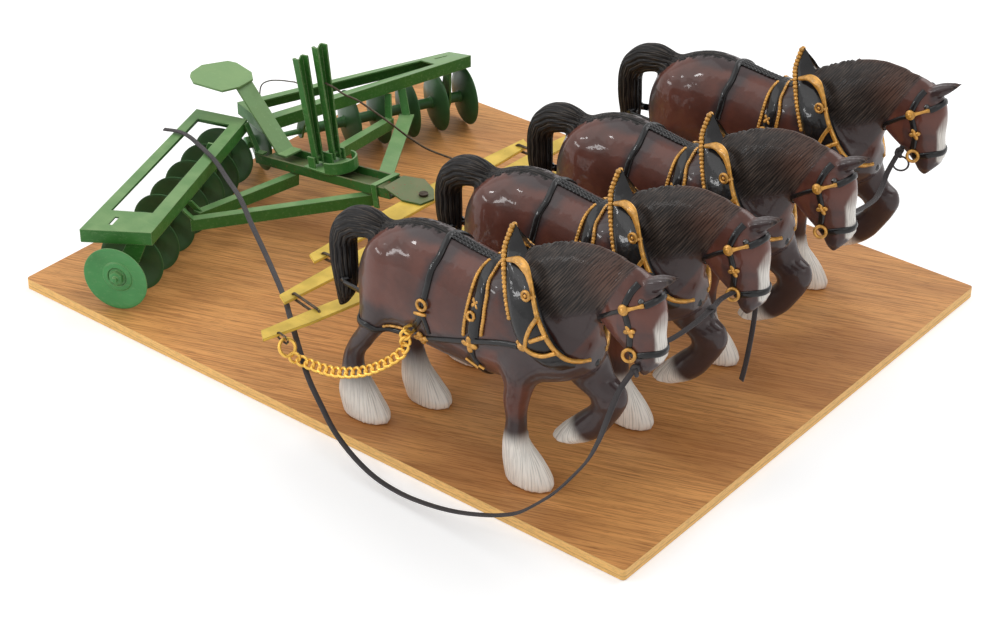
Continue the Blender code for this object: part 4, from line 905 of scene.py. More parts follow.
def horse_regions(points):
    """Masks over the horse for its hair, pale hair and shaded coat, with the flow of the hair."""
    x, y, z = points.T
    wide = np.abs(y)
    # the mane starts at the collar and ends at the cheek, the ears and the jaw
    in_neck = ramp((x - 131) * 0.75 + (z - 122) * 0.66, -1.5, 1.5)
    before_head = ramp((x - 186.5) * 24 - (z - 142) * 12, 40, -40) * ramp(x - (z - 111) * 0.5, 178, 173)
    neck = in_neck * before_head * ramp(z - (x - 147) * 0.4, 102, 109)
    apart, around, run = along_tail(x, y, z)
    tail = ramp(apart, 10.5, 9.5) * ramp(x + z * 0.25, 63.5, 61.5) * ramp(z, 45, 47)
    edge = 7.5 - (x - 34) * 0.13
    ragged = 0.9 * np.sin(x * 0.9) + 0.6 * np.sin(x * 2.1 + 1)
    croup = ramp(x, 80, 76) * ramp(x, 30, 33) * ramp(wide - edge - ragged, 0.6, -0.6) * ramp(z, 104, 107)
    ears = ramp(x * 0.86 + z * 0.51, 246, 252) * ramp(z, 138, 140)
    hair = np.maximum.reduce([neck, tail, croup, ears])
    # pale feather: round the hooves, up the lifted foreleg and on the hind legs
    _, share = near_line(points, (168, 11, 54), (141, 12, 23))
    pale = ramp(z, 33, 22)
    pale = np.where((y > 2) & (x > 126) & (z > 17) & (z < 60), ramp(share, 0.58, 0.8) * ramp(z, 44, 38), pale)
    pale = np.where((x < 75) & (z < 60), ramp(z, 34, 12), pale)
    # the blaze down the face
    blaze = np.interp(z, (88, 96, 110, 117, 124, 133), (203.4, 203.1, 201.9, 201.4, 203.0, 204.6))
    face = ramp(x - blaze, -0.5, 0.7) * ramp(z, 86, 88) * ramp(z, 131, 124) * (0.3 + 0.48 * ramp(z, 122, 112))
    pale = np.maximum(pale * (1 - tail), face)
    # darker coat: belly, rump, back, neck, beside the straps, chest, and the head's cheek and poll
    shade = ramp(z + (x - 40) * 0.15, 86, 66) * 0.9
    shade = np.maximum(shade, ramp(x, 44, 24) * ramp(z, 108, 96) * 0.8)
    shade = np.maximum(shade, ramp(x, 30, 60) * ramp(x, 112, 100) * ramp(z, 113, 119) * 0.85)
    shade = np.maximum(shade, in_neck * before_head)
    for line, reach in STRAP_SHADES:
        apart = np.min([near_line(points[:, ::2], a, b)[0] for a, b in zip(line, line[1:])], axis=0)
        shade = np.maximum(shade, np.exp(-((apart / reach) ** 2)) * 0.75)
    shade = np.maximum(shade, ramp(x, 112, 128) * ramp(z, 96, 84) * 0.7)
    red_knee = np.exp(-((z - 50) ** 2) / 130) * (x > 110) * (x < 140) * (y < 0)
    red_poll = np.exp(-((x - 176) ** 2 + (z - 134) ** 2) / 130)
    shade = np.clip(shade - red_knee * 0.9, 0, 1)
    shade = np.maximum(shade, (ramp(z, 103, 92) * 0.5 + ramp(z, 132, 112) * 0.35) * (x > 184))
    shade = np.maximum(shade, ramp(z, 128, 136) * ramp(x, 192, 198) * 0.85)
    # reddish hair behind the ears and along the rim of the mane
    rim = np.exp(-((y / 1.7) ** 2)) * ramp(x, 146, 156) * 0.7
    red = np.clip(np.maximum(red_poll, rim) * in_neck, 0, 1)
    # the hair's flow: across its strands first, then along them
    flow = np.column_stack([y, z, x])
    mane = np.column_stack([x * 0.83 - z * 0.55, x * 0.55 + z * 0.83, y * 0.4])
    flow = np.where((neck > 0.3)[:, None], mane, flow)
    strands = np.column_stack([around * 7.2, run, np.zeros_like(run)])
    flow = np.where((tail > 0.3)[:, None], strands, flow)
    flow = np.where(((croup > 0.3) & (tail <= 0.3))[:, None], np.column_stack([y * 1.6, x, z * 0.1]), flow)
    centres = np.where(x < 75, np.where(y < 0, 28.0, 42.0), np.where(y < 0, 129.0, 152.0))
    sides = np.where(x < 75, np.where(y < 0, -14.0, 17.0), np.where(y < 0, -7.0, 11.5))
    leg_flow = np.column_stack([np.arctan2(y - sides, x - centres) * 11, z, np.zeros_like(z)])
    flow = np.where(((z < 45) & (tail < 0.3))[:, None], leg_flow, flow)
    return hair, pale, shade, red, flow, neck, tail, croup


# Dents, below 0, and swellings on both sides of the horse: place, reach and height
LUMPS = (
    ((204.0, 4.6, 97.5), 1.5, -1.3),  # nostril
    ((196.0, 8.0, 130.0), 3.4, -1.2),  # eye socket
    ((199.0, 6.8, 92.0), 1.2, -0.6), ((196.5, 6.5, 91.2), 1.2, -0.6),  # corner of the mouth
    ((176, 8.5, 120), 3.0, -0.5), ((189, 8.5, 112), 4.0, -0.6),  # behind and before the cheek
    (FLANK_HOLE, 2.6, -2.2),
    ((197.5, 8.2, 133.6), 2.4, 0.9),  # brow
    ((203.8, 4.0, 99.6), 1.8, 0.6),  # rim of the nostril
    ((120, 10, 52), 5.0, 0.7), ((34, 15, 46), 5.0, 0.7),  # knee and hock
    ((199, 5.5, 88.6), 2.2, 0.5),  # lower lip
)
# Length and side places of the mould's ridges down the fronts of the standing feet
RIDGES = ((129.5, -6.2), (28.5, -13.0), (43.0, 17.6))


def carve(points, normals):
    """The moulding's relief: strands of hair, seams, nostrils, mouth and eye sockets."""
    _, pale, _, _, flow, neck, tail, croup = horse_regions(points)
    x, y, z = points.T
    wave = flow[:, 0] + 0.5 * np.sin(flow[:, 1] * 0.13) + 0.3 * np.sin(flow[:, 1] * 0.37 + 1)
    depth = -(0.5 - 0.5 * np.cos(2 * math.pi * wave / STRAND_PITCH)) ** 2
    move = depth * (tail * 0.9 + croup * 0.7)
    move += depth * 0.22 * pale * (x < 190)
    # the parting seam of the mould, the smooth rim of the mane and the rough tufts behind it
    move += 0.8 * np.exp(-((y / 1.5) ** 2)) * neck * (z > 118) * (x > 148)
    tufts = 0.5 + 0.5 * np.sin(x * 1.9 + 2 * np.sin(x * 0.7))
    move += 1.1 * tufts * np.exp(-((y / 2.5) ** 2)) * neck * (x <= 150) * (z > 118)
    move += 0.5 * np.exp(-((((x - 131) * 0.75 + (z - 122) * 0.66) / 1.5) ** 2)) * (z > 90)
    for middle, side in RIDGES:
        ridge = np.exp(-(((y - side) / 0.7) ** 2)) * (np.abs(x - middle) < 24) * (x > middle) * (z < 30)
        move += 0.55 * ridge
    for spot, reach, high in LUMPS:
        place = np.column_stack([x, np.abs(y), z]) - np.array(spot)
        move += high * np.exp(-(place**2).sum(1) / reach**2)
    return points + normals * move[:, None]


def horse_mesh():
    """The moulded horse: its forms melted into one skin, relaxed at the joins, then carved and masked."""
    parts = [form(BARREL), form(NECK), form(HEAD), form(TAIL), ear_form(1), ear_form(-1)]
    parts += [form(rows) for rows in LEGS.values()]
    for centre, radius, stretch in MUSCLES:
        for side in (-1, 1):
            parts.append(ball(Vector((centre[0], centre[1] * side, centre[2])), radius, 4, stretch))
    rough = bpy.data.objects.new("rough_horse", mesh_of("rough_horse", gather(parts)))
    bpy.context.scene.collection.objects.link(rough)
    remesh = rough.modifiers.new("one_skin", "REMESH")
    remesh.mode = "VOXEL"
    remesh.voxel_size = size("voxel")
    data = bpy.data.meshes.new_from_object(rough.evaluated_get(bpy.context.evaluated_depsgraph_get()))
    bpy.data.objects.remove(rough)
    edges = np.zeros(len(data.edges) * 2, np.int32)
    data.edges.foreach_get("vertices", edges)
    edges = edges.reshape(-1, 2)
    points = points_of(data)
    points = relaxed(points, edges, 5, 0.6)
    x, _, z = points.T
    soft = ramp(z, 46, 62) * ramp(x, 176, 160)
    points = relaxed(points, edges, 26, 0.6, soft)
    data.vertices.foreach_set("co", points.astype(np.float32).ravel())
    data.update()
    normals = np.zeros(len(points) * 3, np.float32)
    data.vertices.foreach_get("normal", normals)
    points = carve(points, normals.reshape(-1, 3))
    points[:, 2] = np.maximum(points[:, 2], 0.0)
    data.vertices.foreach_set("co", points.astype(np.float32).ravel())
    data.update()
    hair, pale, shade, red, flow, neck, *_ = horse_regions(points)
    put_attribute(data, "horse_paint", np.column_stack([shade, pale, hair, np.ones(len(hair))]))
    put_attribute(data, "mane_red", np.column_stack([red, neck, neck]))
    put_attribute(data, "hair_flow", flow)
    put_attribute(data, "horse_place", points)
    data.shade_smooth()
    return data


TEAM = {}  # filled by team() the first time


def team():
    """The mesh that all four horses share, with its search tree."""
    if not TEAM:
        data = horse_mesh()
        TEAM["mesh"] = data
        faces = [tuple(polygon.vertices) for polygon in data.polygons]
        TEAM["tree"] = BVHTree.FromPolygons([v.co for v in data.vertices], faces)
    return TEAM


def seen(x, z):
    """The point of the coat that the photo shows at (x, z) of the sight plane."""
    tree = team()["tree"]
    aim = Vector((x, SIGHT_PLANE, z))
    spot, _, _, _ = tree.ray_cast(EYE, (aim - EYE).normalized())
    if spot is None:
        spot, _, _, _ = tree.find_nearest(aim)
    return spot


def on_coat(spot):
    """The nearest point of the coat, and the way out of it there, averaged over its surroundings."""
    tree = team()["tree"]
    foot, normal, _, _ = tree.find_nearest(Vector(spot))
    out = normal.copy()
    for shift in ((2, 0, 0), (-2, 0, 0), (0, 0, 2), (0, 0, -2)):
        out += tree.find_nearest(foot + Vector(shift))[1]
    return foot, out.normalized()


def laid_strap(spots, width, thick):
    """A flat strap pressed onto the coat through the given spots, with rounded edges."""
    line = smooth_line(spots, max(3, int(run_length(spots) / STRAP_STEP)))
    tree = team()["tree"]
    feet = [on_coat(spot) for spot in line]
    rings = []
    for i, (foot, out) in enumerate(feet):
        along = (feet[min(i + 1, len(feet) - 1)][0] - feet[max(i - 1, 0)][0]).normalized()
        side = along.cross(out).normalized()
        top, low = [], []
        for share in (-1, -0.85, -0.4, 0.4, 0.85, 1):
            point, _, _, _ = tree.find_nearest(foot + side * (width / 2 * share))
            rise = thick * (1 - 0.8 * abs(share) ** 6)
            top.append(point + out * rise)
            if abs(share) in (0.4, 1):
                low.append(point - out * STRAP_SINK)
        rings.append([*top, *reversed(low)])
    return skin(rings)


def roped(spots, radius, pitch, lift=0.35):
    """A beaded or roped edge that lies on the coat through the given spots."""
    line = []
    for spot in smooth_line(spots, max(2, int(run_length(spots) / pitch)) * BEAD_STEPS):
        foot, out = on_coat(spot)
        line.append(foot + out * radius * lift)
    rounds = [math.sin(math.pi * (i % BEAD_STEPS) / BEAD_STEPS) for i in range(len(line))]
    return tube(line, [radius * (0.8 + 0.22 * swell) for swell in rounds], 8)


def loose_ring(centre, out, radius, wire, count=20):
    """A ring of wire that faces out."""
    side = out.cross(UP).normalized()
    return tube(circle(centre, radius, side, side.cross(out), count), wire, 8, True, up=out)


def blossom(spot, radius, lean):
    """A four-lobed star ornament on the coat."""
    foot, out = on_coat(spot)
    side = out.cross(UP).normalized()
    base = Matrix((side, side.cross(out) * -1, out)).transposed().to_4x4()
    parts = []
    for quarter in range(4):
        turn = base @ Matrix.Rotation(math.radians(90 * quarter + lean), 4, "Z")
        middle = foot + out * 0.6 + (turn @ Vector((radius * 0.52, 0, 0)))
        parts.append(ball(middle, radius * 0.5, 2, (1.0, 0.72, 0.5), turn))
    parts.append(ball(foot + out * 0.7, radius * 0.36, 2, (1, 1, 0.9), base))
    return parts


def line_of(*places):
    """Points of a line: a pair is read through the camera, three numbers are a place on the horse."""
    return [seen(*place) if len(place) == 2 else Vector(place) for place in places]


def lifted(places, steps, lift):
    """A smooth line through places, held off the coat."""
    return [spot + on_coat(spot)[1] * lift for spot in smooth_line(line_of(*places), steps)]


COLLAR = (
    # rear edge and front edge of the pad, from the pointed top down the near side to the chest
    ((116.0, 0.0, 138.5), (117.6, 0.0, 137.6)), ((115.3, -2.6, 132.5), (122.5, -1.4, 132.4)),
    ((115.9, -6.0, 128.2), (127.2, -2.8, 126.8)), ((118.7, -10.0, 122.8), (133.5, -9.0, 122.4)),
    ((121.6, -13.0, 116.9), (140.0, -14.0, 118.0)), ((124.8, -16.0, 111.1), (144.0, -16.2, 113.0)),
    ((128.0, -18.5, 106.0), (148.5, -18.0, 107.0)), ((131.0, -20.0, 100.0), (152.5, -18.0, 100.5)),
    ((134.5, -20.5, 94.0), (156.0, -16.5, 94.5)), ((139.5, -19.5, 88.0), (159.5, -12.5, 89.5)),
    ((147.0, -16.0, 82.5), (163.0, -7.5, 87.0)), ((154.5, -9.0, 80.5), (165.5, -3.0, 85.5)),
    ((159.0, 0.0, 80.0), (166.5, 0.0, 85.2)),
)
COLLAR_CENTRE = Vector((141, 0, 108))


def collar_edges(steps=44):
    """The rear and the front edge of the near half of the collar."""
    rear = smooth_line([rear for rear, _ in COLLAR], steps)
    front = smooth_line([front for _, front in COLLAR], steps)
    return rear, front


def collar_out(rear, front):
    """The way out of the stuffed collar, square to its width."""
    across = (front - rear).normalized()
    out = (rear + front) / 2 - COLLAR_CENTRE
    return (out - across * out.dot(across)).normalized()


def collar_pad():
    """The stuffed collar round the neck's root, with a seam along its middle."""
    rings = []
    for i, (rear, front) in enumerate(zip(*collar_edges())):
        out = collar_out(rear, front) * min(1, 0.3 + max(0, i - 4) / 34)
        middle, half = (rear + front) / 2, (front - rear) / 2
        ring = []
        for turn in turns(18):
            rise = math.sin(turn)
            rise = rise * 2.5 if rise < 0 else (1 - (1 - rise) ** 1.6) * min(4.6, half.length * 0.9 + 1)
            ring.append(middle + half * math.cos(turn) + out * rise)
        rings.append(ring)
    return skin(rings)


def beaded(line, radius, pitch):
    """A rope of flat beads along a free line."""
    count = max(2, round(run_length(line) / pitch)) * BEAD_STEPS
    rounds = [math.sin(math.pi * (i % BEAD_STEPS) / BEAD_STEPS) for i in range(count + 1)]
    return tube(smooth_line(line, count), [radius * (0.66 + 0.34 * swell**0.6) for swell in rounds], 10)


def sighted(x, z, y):
    """The point at side place y that the photo shows at (x, z) of the sight plane."""
    way = Vector((x, SIGHT_PLANE, z)) - EYE
    return EYE + way * ((y - EYE.y) / way.y)


def band(line, widths, rise, outs):
    """A rounded band along a line, lying flat against the ways out."""
    widths = np.interp(np.linspace(0, 1, len(line)), *widths)
    rings = []
    for i, (spot, out) in enumerate(zip(line, outs)):
        along = (line[min(i + 1, len(line) - 1)] - line[max(i - 1, 0)]).normalized()
        side = along.cross(out).normalized()
        rings.append([spot + side * widths[i] * math.cos(a) + out * rise * math.sin(a) for a in turns(12)])
    return skin(rings)


def harness_black():
    """All the black straps of one horse: those of the near side mirrored, then the braid on the back."""
    hip, back, trace, bridle = (size(name) for name in ("hip_strap", "back_strap", "trace", "bridle"))
    parts = [collar_pad()]
    for width, thick, places in (
        # the hip strap, its end below the ring, and the two tails under that
        (hip, 1.3, ((77.5, 0.0, 121.0), (85.1, 118.8), (79.2, 108.0), (76.1, 97.4), (74.1, 89.6))),
        (hip * 0.8, 1.1, ((73.2, 87.5), (72.6, 83.0), (72.3, 78.4))),
        (3.2, 1.0, ((72.3, 79.5), (69.5, 74.0), (66.6, 69.5))),
        (3.0, 1.0, ((72.5, 79.5), (74.8, 74.5), (76.5, 70.4))),
        # the backband and its girth
        (back, 1.1, (
            (111.5, 0, 119.0), (119.0, 127.5), (112.9, 118.2), (109.0, 105.8), (106.6, 94.6), (104.6, 80.6),
        )),
        (4.6, 1.0, (
            (104.6, 81.0), (103.4, 74.0), (104.5, 68.0), (107.5, 65.6), (106, -11.0, 54.5), (106, -5.0, 50.5),
            (106, 0.0, 49.8),
        )),
        # the trace to the collar, and the breeching round the thigh
        (trace * 0.8, 1.2, (
            (76.0, 67.2), (89.4, 71.6), (98.1, 74.6), (111.5, 79.6), (122.8, 83.4), (132.1, 85.6),
        )),
        (trace, 1.5, (
            (62.8, 64.8), (54.7, 63.4), (44.5, 59.6), (35.5, 58.8), (27.0, 61.5), (16.5, -12.0, 68.0),
            (14.5, -5.0, 71.0),
        )),
        # the bridle: crown and cheek, noseband, browband and throat strap
        (bridle, 0.9, ((200.2, 146.3), (196.2, 140.3), (193.2, 133.0), (192.6, 129.7))),
        (bridle, 0.9, ((192.6, 128.9), (194.8, 123.2), (196.4, 116.0), (196.3, 109.5))),
        (bridle, 0.9, ((197.6, 107.5), (203.0, 109.3), (208.5, 112.0), (203.4, 0.0, 103.6))),
        (bridle, 1.0, ((203.8, 136.2), (206.5, 138.2), (203.5, 0, 133.0))),
        (2.2, 0.7, ((192.0, 129.0), (186.0, 125.4), (180.5, 121.5), (171.0, -3.5, 111.5), (170.0, 0, 110.5))),
    ):
        parts.append(laid_strap(line_of(*places), width, thick))
    braid = [roped([Vector((x, y, 120)) for x in (113, 100, 88, 77)], 1.0, 2.4) for y in (-2.1, 0.0, 2.1)]
    return gather([mirrored(parts), *braid])


# The hame along the near front edge of the collar, from its broad top to its broad foot
HAME = (
    (121.0, -10.6, 126.0), (128.0, -12.4, 129.2), (134.0, -14.4, 128.0), (138.0, -16.2, 123.8),
    (140.8, -17.6, 118.8), (143.2, -19.0, 113.8), (146.4, -20.8, 109.2), (150.0, -21.8, 104.4),
    (153.0, -21.2, 99.0), (156.4, -19.4, 93.6), (160.0, -15.6, 88.8), (163.4, -10.6, 86.6),
    (166.4, -5.6, 86.4),
)
HAME_WIDTHS = ((0, 0.1, 0.2, 0.35, 0.5, 0.75, 0.9, 1), (1.3, 2.2, 2.4, 1.3, 1.3, 1.5, 2.2, 1.8))
FAR_HAME_WIDTHS = ((0, 0.5, 0.85, 1), (1.3, 1.4, 2.2, 1.8))


def harness_gilt():
    """The gold-painted fittings: beaded edges, hames, rings, buckles, stars and rosettes."""
    beads = size("beads")
    parts = []
    for edge in (
        ((115.2, 126.3), (108.7, 117.5), (104.0, 104.7), (101.1, 93.3), (99.1, 78.6)),
        ((122.5, 128.6), (117.0, 119.0), (113.8, 106.8), (112.0, 95.9), (110.1, 82.6)),
    ):
        parts.append(roped(line_of(*edge), beads, 1.6, 0.7))
    rear_edge = [spot + Vector((-0.6, -0.5, 0.2)) for spot in collar_edges()[0][:23]]
    parts.append(beaded(rear_edge, size("collar_rope"), 2.1))
    # the near hame, and the part of the far one that shows past the neck
    line = smooth_line(HAME, 72)
    outs = [(spot - COLLAR_CENTRE - Vector((12, 0, -2))).normalized() for spot in line]
    hame = band(line, HAME_WIDTHS, 1.2, outs)
    across = Vector((1, -1, 1))
    far_line, far_outs = ([way * across for way in ways[26:]] for ways in (line, outs))
    far_hame = band(far_line, FAR_HAME_WIDTHS, 1.2, far_outs)
    # the eyelet of the hame with its bolt, and the pulls under it
    eyelet = sighted(136.3, 115.0, -20.5)
    parts.append(loose_ring(eyelet, Vector((-0.1, -0.97, 0.15)).normalized(), 2.2, 0.8))
    parts.append(ball(eyelet, 1.0))
    parts.append(tube([sighted(139.0, 115.0, -19.8), sighted(142.0, 117.0, -17.5)], 0.8))
    for route in (
        ((143.2, 105.5), (139.4, 98.6), (137.1, 92.0), (136.3, 86.4)),
        ((136.3, 86.0), (140.7, 84.8), (147.1, 86.0), (154.5, 90.6)),
        ((139.3, 90.9), (144.6, 94.7), (149.3, 98.0)),
    ):
        outline = [sighted(x, z, -23.4 + 0.22 * max(0, x - 143)) for x, z in route]
        parts.append(tube(smooth_line(outline, 16), 1.15, 8))
    parts.append(ball(sighted(134.6, 86.0, -22.6), 2.3, 2, (1.3, 0.6, 1)))
    parts.append(ball(sighted(132.4, 88.0, -22.0), 1.2))
    # stars at the backband's foot, the start of the trace, the cheek and the backband's middle
    for spot, radius, lean in (
        ((102.9, 74.9), 5.0, 0), ((72.2, 66.4), 4.6, 8), ((196.3, 119.8), 3.5, 25), ((106.8, 99.4), 3.2, 45),
    ):
        parts += blossom(seen(*spot), radius, lean)
    for spot, lift, radius, wire, count in (
        ((73.2, 85.8), 1.6, 2.7, 0.85, 20), ((104.4, 91.6), 1.4, 2.2, 0.8, 8),
    ):
        foot, out = on_coat(seen(*spot))
        parts.append(loose_ring(foot + out * lift, out, radius, wire, count))
    # the buckles' bars
    parts.append(tube(lifted(((68.5, 80.0), (76.1, 81.2)), 6, 1.6), [0.7, 0.95, 1.0, 1.0, 1.0, 0.95, 0.7], 8))
    for places in (((101.0, 67.0), (108.7, 64.9)), ((109.0, 66.2), (112.5, 65.6))):
        parts.append(tube(lifted(places, 5, 1.2), 0.75, 8))
    # the bridle's rosette, browband and bit ring
    foot, out = on_coat(seen(192.6, 129.7))
    turn = out.to_track_quat("Z", "Y").to_matrix().to_4x4()
    parts.append(ball(foot + out * 0.9, 2.8, 3, (1, 1, 0.4), turn))
    parts.append(ball(foot + out * 1.7, 1.4, 2, (1, 1, 0.6), turn))
    brow = lifted(((195.1, 131.0), (203.8, 136.2)), 8, 0.9)
    parts.append(tube(brow, [1.3, 1.0, 0.9, 0.9, 0.9, 0.9, 1.0, 1.2, 0.9], 8))
    bit_way = Vector((0.35, -0.9, 0.2)).normalized()
    parts.append(loose_ring(sighted(196.2, 106.6, -9.6), bit_way, 2.9, 0.9, 24))
    parts.append(roped(line_of((62.8, 67.2), (54.7, 66.2), (46.5, 62.9)), 0.8, 1.9, 0.9))
    return gather([mirrored(parts), hame, far_hame])


def eye_balls():
    """Both eyes of a horse."""
    spot = seen(202.2, 137.7)
    places = [Vector((spot.x - 0.6, spot.y * 0.92 * side, spot.z - 0.4)) for side in (1, -1)]
    return gather([ball(place, 1.9, 3) for place in places])


# Eveners and chains


def bar_frame(name):
    """The frame of an evener bar at rest, from its joint."""
    joint = next(j for j in frame["joints"] if j["child"] == name)
    x, y, z = (c / MM for c in joint["pos_m"])
    return standing(x, y, z, BAR_YAWS[name])


def stadium(start, end, low, high, y, steps=7):
    """A long loop in the upright plane at y, from start to end along the bar's X."""
    radius = (high - low) / 2
    middle = (high + low) / 2
    points = []
    for centre, first in ((end - radius, -90), (start + radius, 90)):
        for i in range(steps + 1):
            turn = math.radians(first + 180 * i / steps)
            points.append(Vector((centre + radius * math.cos(turn), y, middle + radius * math.sin(turn))))
    return points


def chain_line(number, side):
    """The ring's middle and the chain's line from the staple to the hole in the flank."""
    single = bar_frame(f"singletree_{number + 1}")
    eye = Vector((SINGLE_LINK + BAR_WIDTH / 2 + STAPLE_REACH / 2, side * SINGLE_HALF, 0))
    stand = horse_frame(number)
    hole = Vector((FLANK.x, side * (FLANK.y - 1.2), FLANK.z))
    mouth = hole + Vector((-0.8, side * 6.0, -0.6))
    path = [stand @ Vector((x, side * out, z)) for x, out, z in CHAIN_PATH]
    spots = [single @ (eye + RING_HANG * JUMP_RING * 2), *path, stand @ mouth, stand @ hole]
    return single @ (eye + RING_HANG * JUMP_RING), smooth_line(spots, 21)


def curb_link(long, wide, wire, twist=84):
    """One link of a curb chain: a long loop, twisted so that the next one lies through it."""
    half = long / 2 - wire
    line = []
    for centre, first in ((half - wide, -90), (wide - half, 90)):
        for i in range(7):
            turn = math.radians(first + 180 * i / 6)
            line.append(Vector((centre + wide * math.cos(turn), wide * math.sin(turn), 0)))
    bent = []
    for point in line:
        roll = math.radians(twist) * point.x / long
        bent.append(Vector((point.x, point.y * math.cos(roll), point.y * math.sin(roll))))
    return tube(bent, wire / 2, 6, True)


def chain_shape(number, side):
    """The trace chain of one side of a horse, with its jump ring."""
    ring, spots = chain_line(number, side)
    wire, wide = size("link_wire"), size("link_half") - size("link_wire") / 2
    parts = []
    for i, (start, end) in enumerate(zip(spots, spots[1:])):
        along = (end - start).normalized()
        level = along.cross(UP).normalized()
        rise = level.cross(along)
        flat = (level * 0.6 + rise * 0.8 * side).normalized()
        turn = Matrix((along, flat, along.cross(flat))).transposed().to_4x4()
        # the last link is longer and narrower, as it goes through the flank's hole
        over, share = (3.2, 0.8) if i == len(spots) - 2 else (2.7, 1)
        link = curb_link((end - start).length + wire * over, wide * share, wire)
        bmesh.ops.transform(link, matrix=Matrix.Translation((start + end) / 2) @ turn, verts=link.verts)
        parts.append(link)
    along = (spots[0] - ring).normalized()
    level = along.cross(UP).normalized()
    parts.append(tube(circle(ring, JUMP_RING, along, level, 28), wire * 0.55, 8, True, up=along.cross(level)))
    return gather(parts)


# Discs


def along_axle(name, distance=0.0):
    """A place on a gang's axle, its Z pointing in along the axle."""
    spot, yaw, inward, _, _ = GANGS[name]
    stand = standing(*spot, BOARD_THICK + GAP + DISC_RADIUS, yaw)
    lying = Matrix.Rotation(math.radians(-90 * inward), 4, "X")
    return stand @ Matrix.Translation((0, inward * distance, 0)) @ lying


def turned(profile, sides=64):
    """A closed profile of radius and height, turned round Z."""
    made = bmesh.new()
    points = [made.verts.new((radius, 0, height)) for radius, height in profile]
    edges = [made.edges.new((point, points[(i + 1) % len(points)])) for i, point in enumerate(points)]
    bmesh.ops.spin(
        made, geom=points + edges, cent=(0, 0, 0), axis=(0, 0, 1), angle=2 * math.pi, steps=sides,
        use_merge=True,
    )
    bmesh.ops.remove_doubles(made, verts=made.verts, dist=1e-4)
    bmesh.ops.recalc_face_normals(made, faces=made.faces)
    return made


def disc_shape(spool_end, outer):
    """A dished disc with its rolled hub and the spool behind it."""
    def dish(radius):
        return -DISC_DISH * max(0.0, (radius - DISC_FLAT) / (DISC_RADIUS - DISC_FLAT)) ** 1.5
    back_radii = (5.0, 7.0, 9.0, 11.5, 14.0, 16.5, 18.6)
    back = [(r, dish(r) + DISC_HALF - 0.15 * (r > 17)) for r in back_radii]
    front = [(r, dish(r) - DISC_HALF) for r in (18.6, 16.5, 14.0, 11.5, 9.0)]
    flange = [(2.0, spool_end), (3.9, spool_end), (3.9, spool_end - 0.8), (3.3, spool_end - 1.2)]
    rim = [(DISC_RADIUS, dish(DISC_RADIUS) + 0.1), (DISC_RADIUS, dish(DISC_RADIUS) - 0.3)]
    hub = [(8.9, -1.1), (8.4, -1.6), (5.7, -1.8), (5.4, -0.9)] if outer else [(7.0, -1.0), (5.0, -0.5)]
    return turned([*flange, (3.3, 1.6), (3.9, 1.2), (3.9, 0.6), *back, *rim, *front, *hub, (2.0, -0.6)])


def nut(height):
    """A hexagon nut round Z."""
    made = bmesh.new()
    bmesh.ops.create_cone(
        made, cap_ends=True, segments=6, radius1=NUT_RADIUS, radius2=NUT_RADIUS, depth=NUT_HIGH,
        matrix=Matrix.Translation((0, 0, height)),
    )
    bmesh.ops.bevel(
        made, geom=made.edges[:], offset=0.35, segments=2, affect="EDGES", profile=0.5, material=-1
    )
    return made


def axle_shape(last, first):
    """An axle from its last nut to the head below its first one, with the outer washer."""
    ends = [(0, last + 3.0), (1.6, last + 3.0), (1.7, last + 2.6), (1.7, first - 4.2), (1.4, first - 4.8)]
    rod = turned([*ends, (0, first - 4.8)], 24)
    washer = turned([(1.6, first), (5.0, first), (5.0, first - 0.5), (1.6, first - 0.5)], 32)
    return gather([rod, washer, nut(first - 1.6), nut(last + 1.5)])


# Laces

LEVER_WIRE_ROUTE = (
    (-185.9, 3.0, 57.9), (-190.0, 7.0, 62.5), (-187.3, 6.5, 69), (-177.1, 3.0, 76.1),
    (-162.3, -2.5, 83), (-150.4, -6.5, 87.5), (-144.5, -9.5, 90.2), (-139.8, -11, 91.2),
)
FAR_REIN_ROUTE = (
    (-126.0, -3.5, 93.2), (-119.5, -2.5, 91.6), (-114, 0.0, 88), (-106.2, 4, 84.5), (-90.7, 12, 72.8),
    (-81, 20, 62), (-68, 28, 54), (-25, 36, 52), (12, 45, 60), (45, 44.5, 78), (75.8, 39.7, 92),
)
NEAR_REIN_ROUTE = (
    (-214, -50, 53.0), (-205, -46.5, 53.0), (-195, -47.5, 53.2), (-183.6, -51.2, 53.2), (-175, -54, 53.0),
    (-163, -58, 51.8), (-143.6, -68, 51), (-122.3, -80, 52), (-98.5, -95.2, 50), (-69.4, -112.6, 46),
    (-38.5, -133, 44.4), (-25, -143.5, 44.5), (-4, -159, 40.6), (9.8, -167, 31.2), (24.2, -173, 22.8),
    (36.8, -177.5, 15.5), (54.1, -182.5, 10.5), (70.9, -185, 6.7), (88.8, -186, 5.8), (106.9, -186, 7.6),
    (123.7, -185.5, 11.1), (139.7, -184.5, 16.3), (150.6, -183.5, 20.9), (159.7, -182, 26.1),
    (169.9, -180, 35.7), (177.3, -177.5, 43.8), (184.9, -174, 54.8), (190.2, -171, 64), (192.9, -167, 73.2),
    (193.5, -162.5, 81.1), (192.7, -156, 87.8), (192.2, -149, 94.0), (193.5, -139.0, 101.1),
)
COUPLING_ROUTE = (
    (192, -125.9, 107.3), (195, -117, 104.5), (200, -104, 109), (202.5, -92, 113.5), (199, -80, 111),
    (198.1, -65.7, 108.6),
)
HANGING_ROUTE = (
    (198, -50.6, 109.4), (198.5, -47.5, 98), (198, -47, 84), (197, -47.5, 70), (195.5, -48, 56),
    (193.5, -47.5, 46),
)
HORSE_4_ROUTE = (
    (185.4, 111.1, 110.2), (184, 105, 103), (184, 99, 98), (188, 88, 96.5), (194, 70, 98.5),
    (197, 50, 102.5), (199.4, 27.0, 108.9),
)
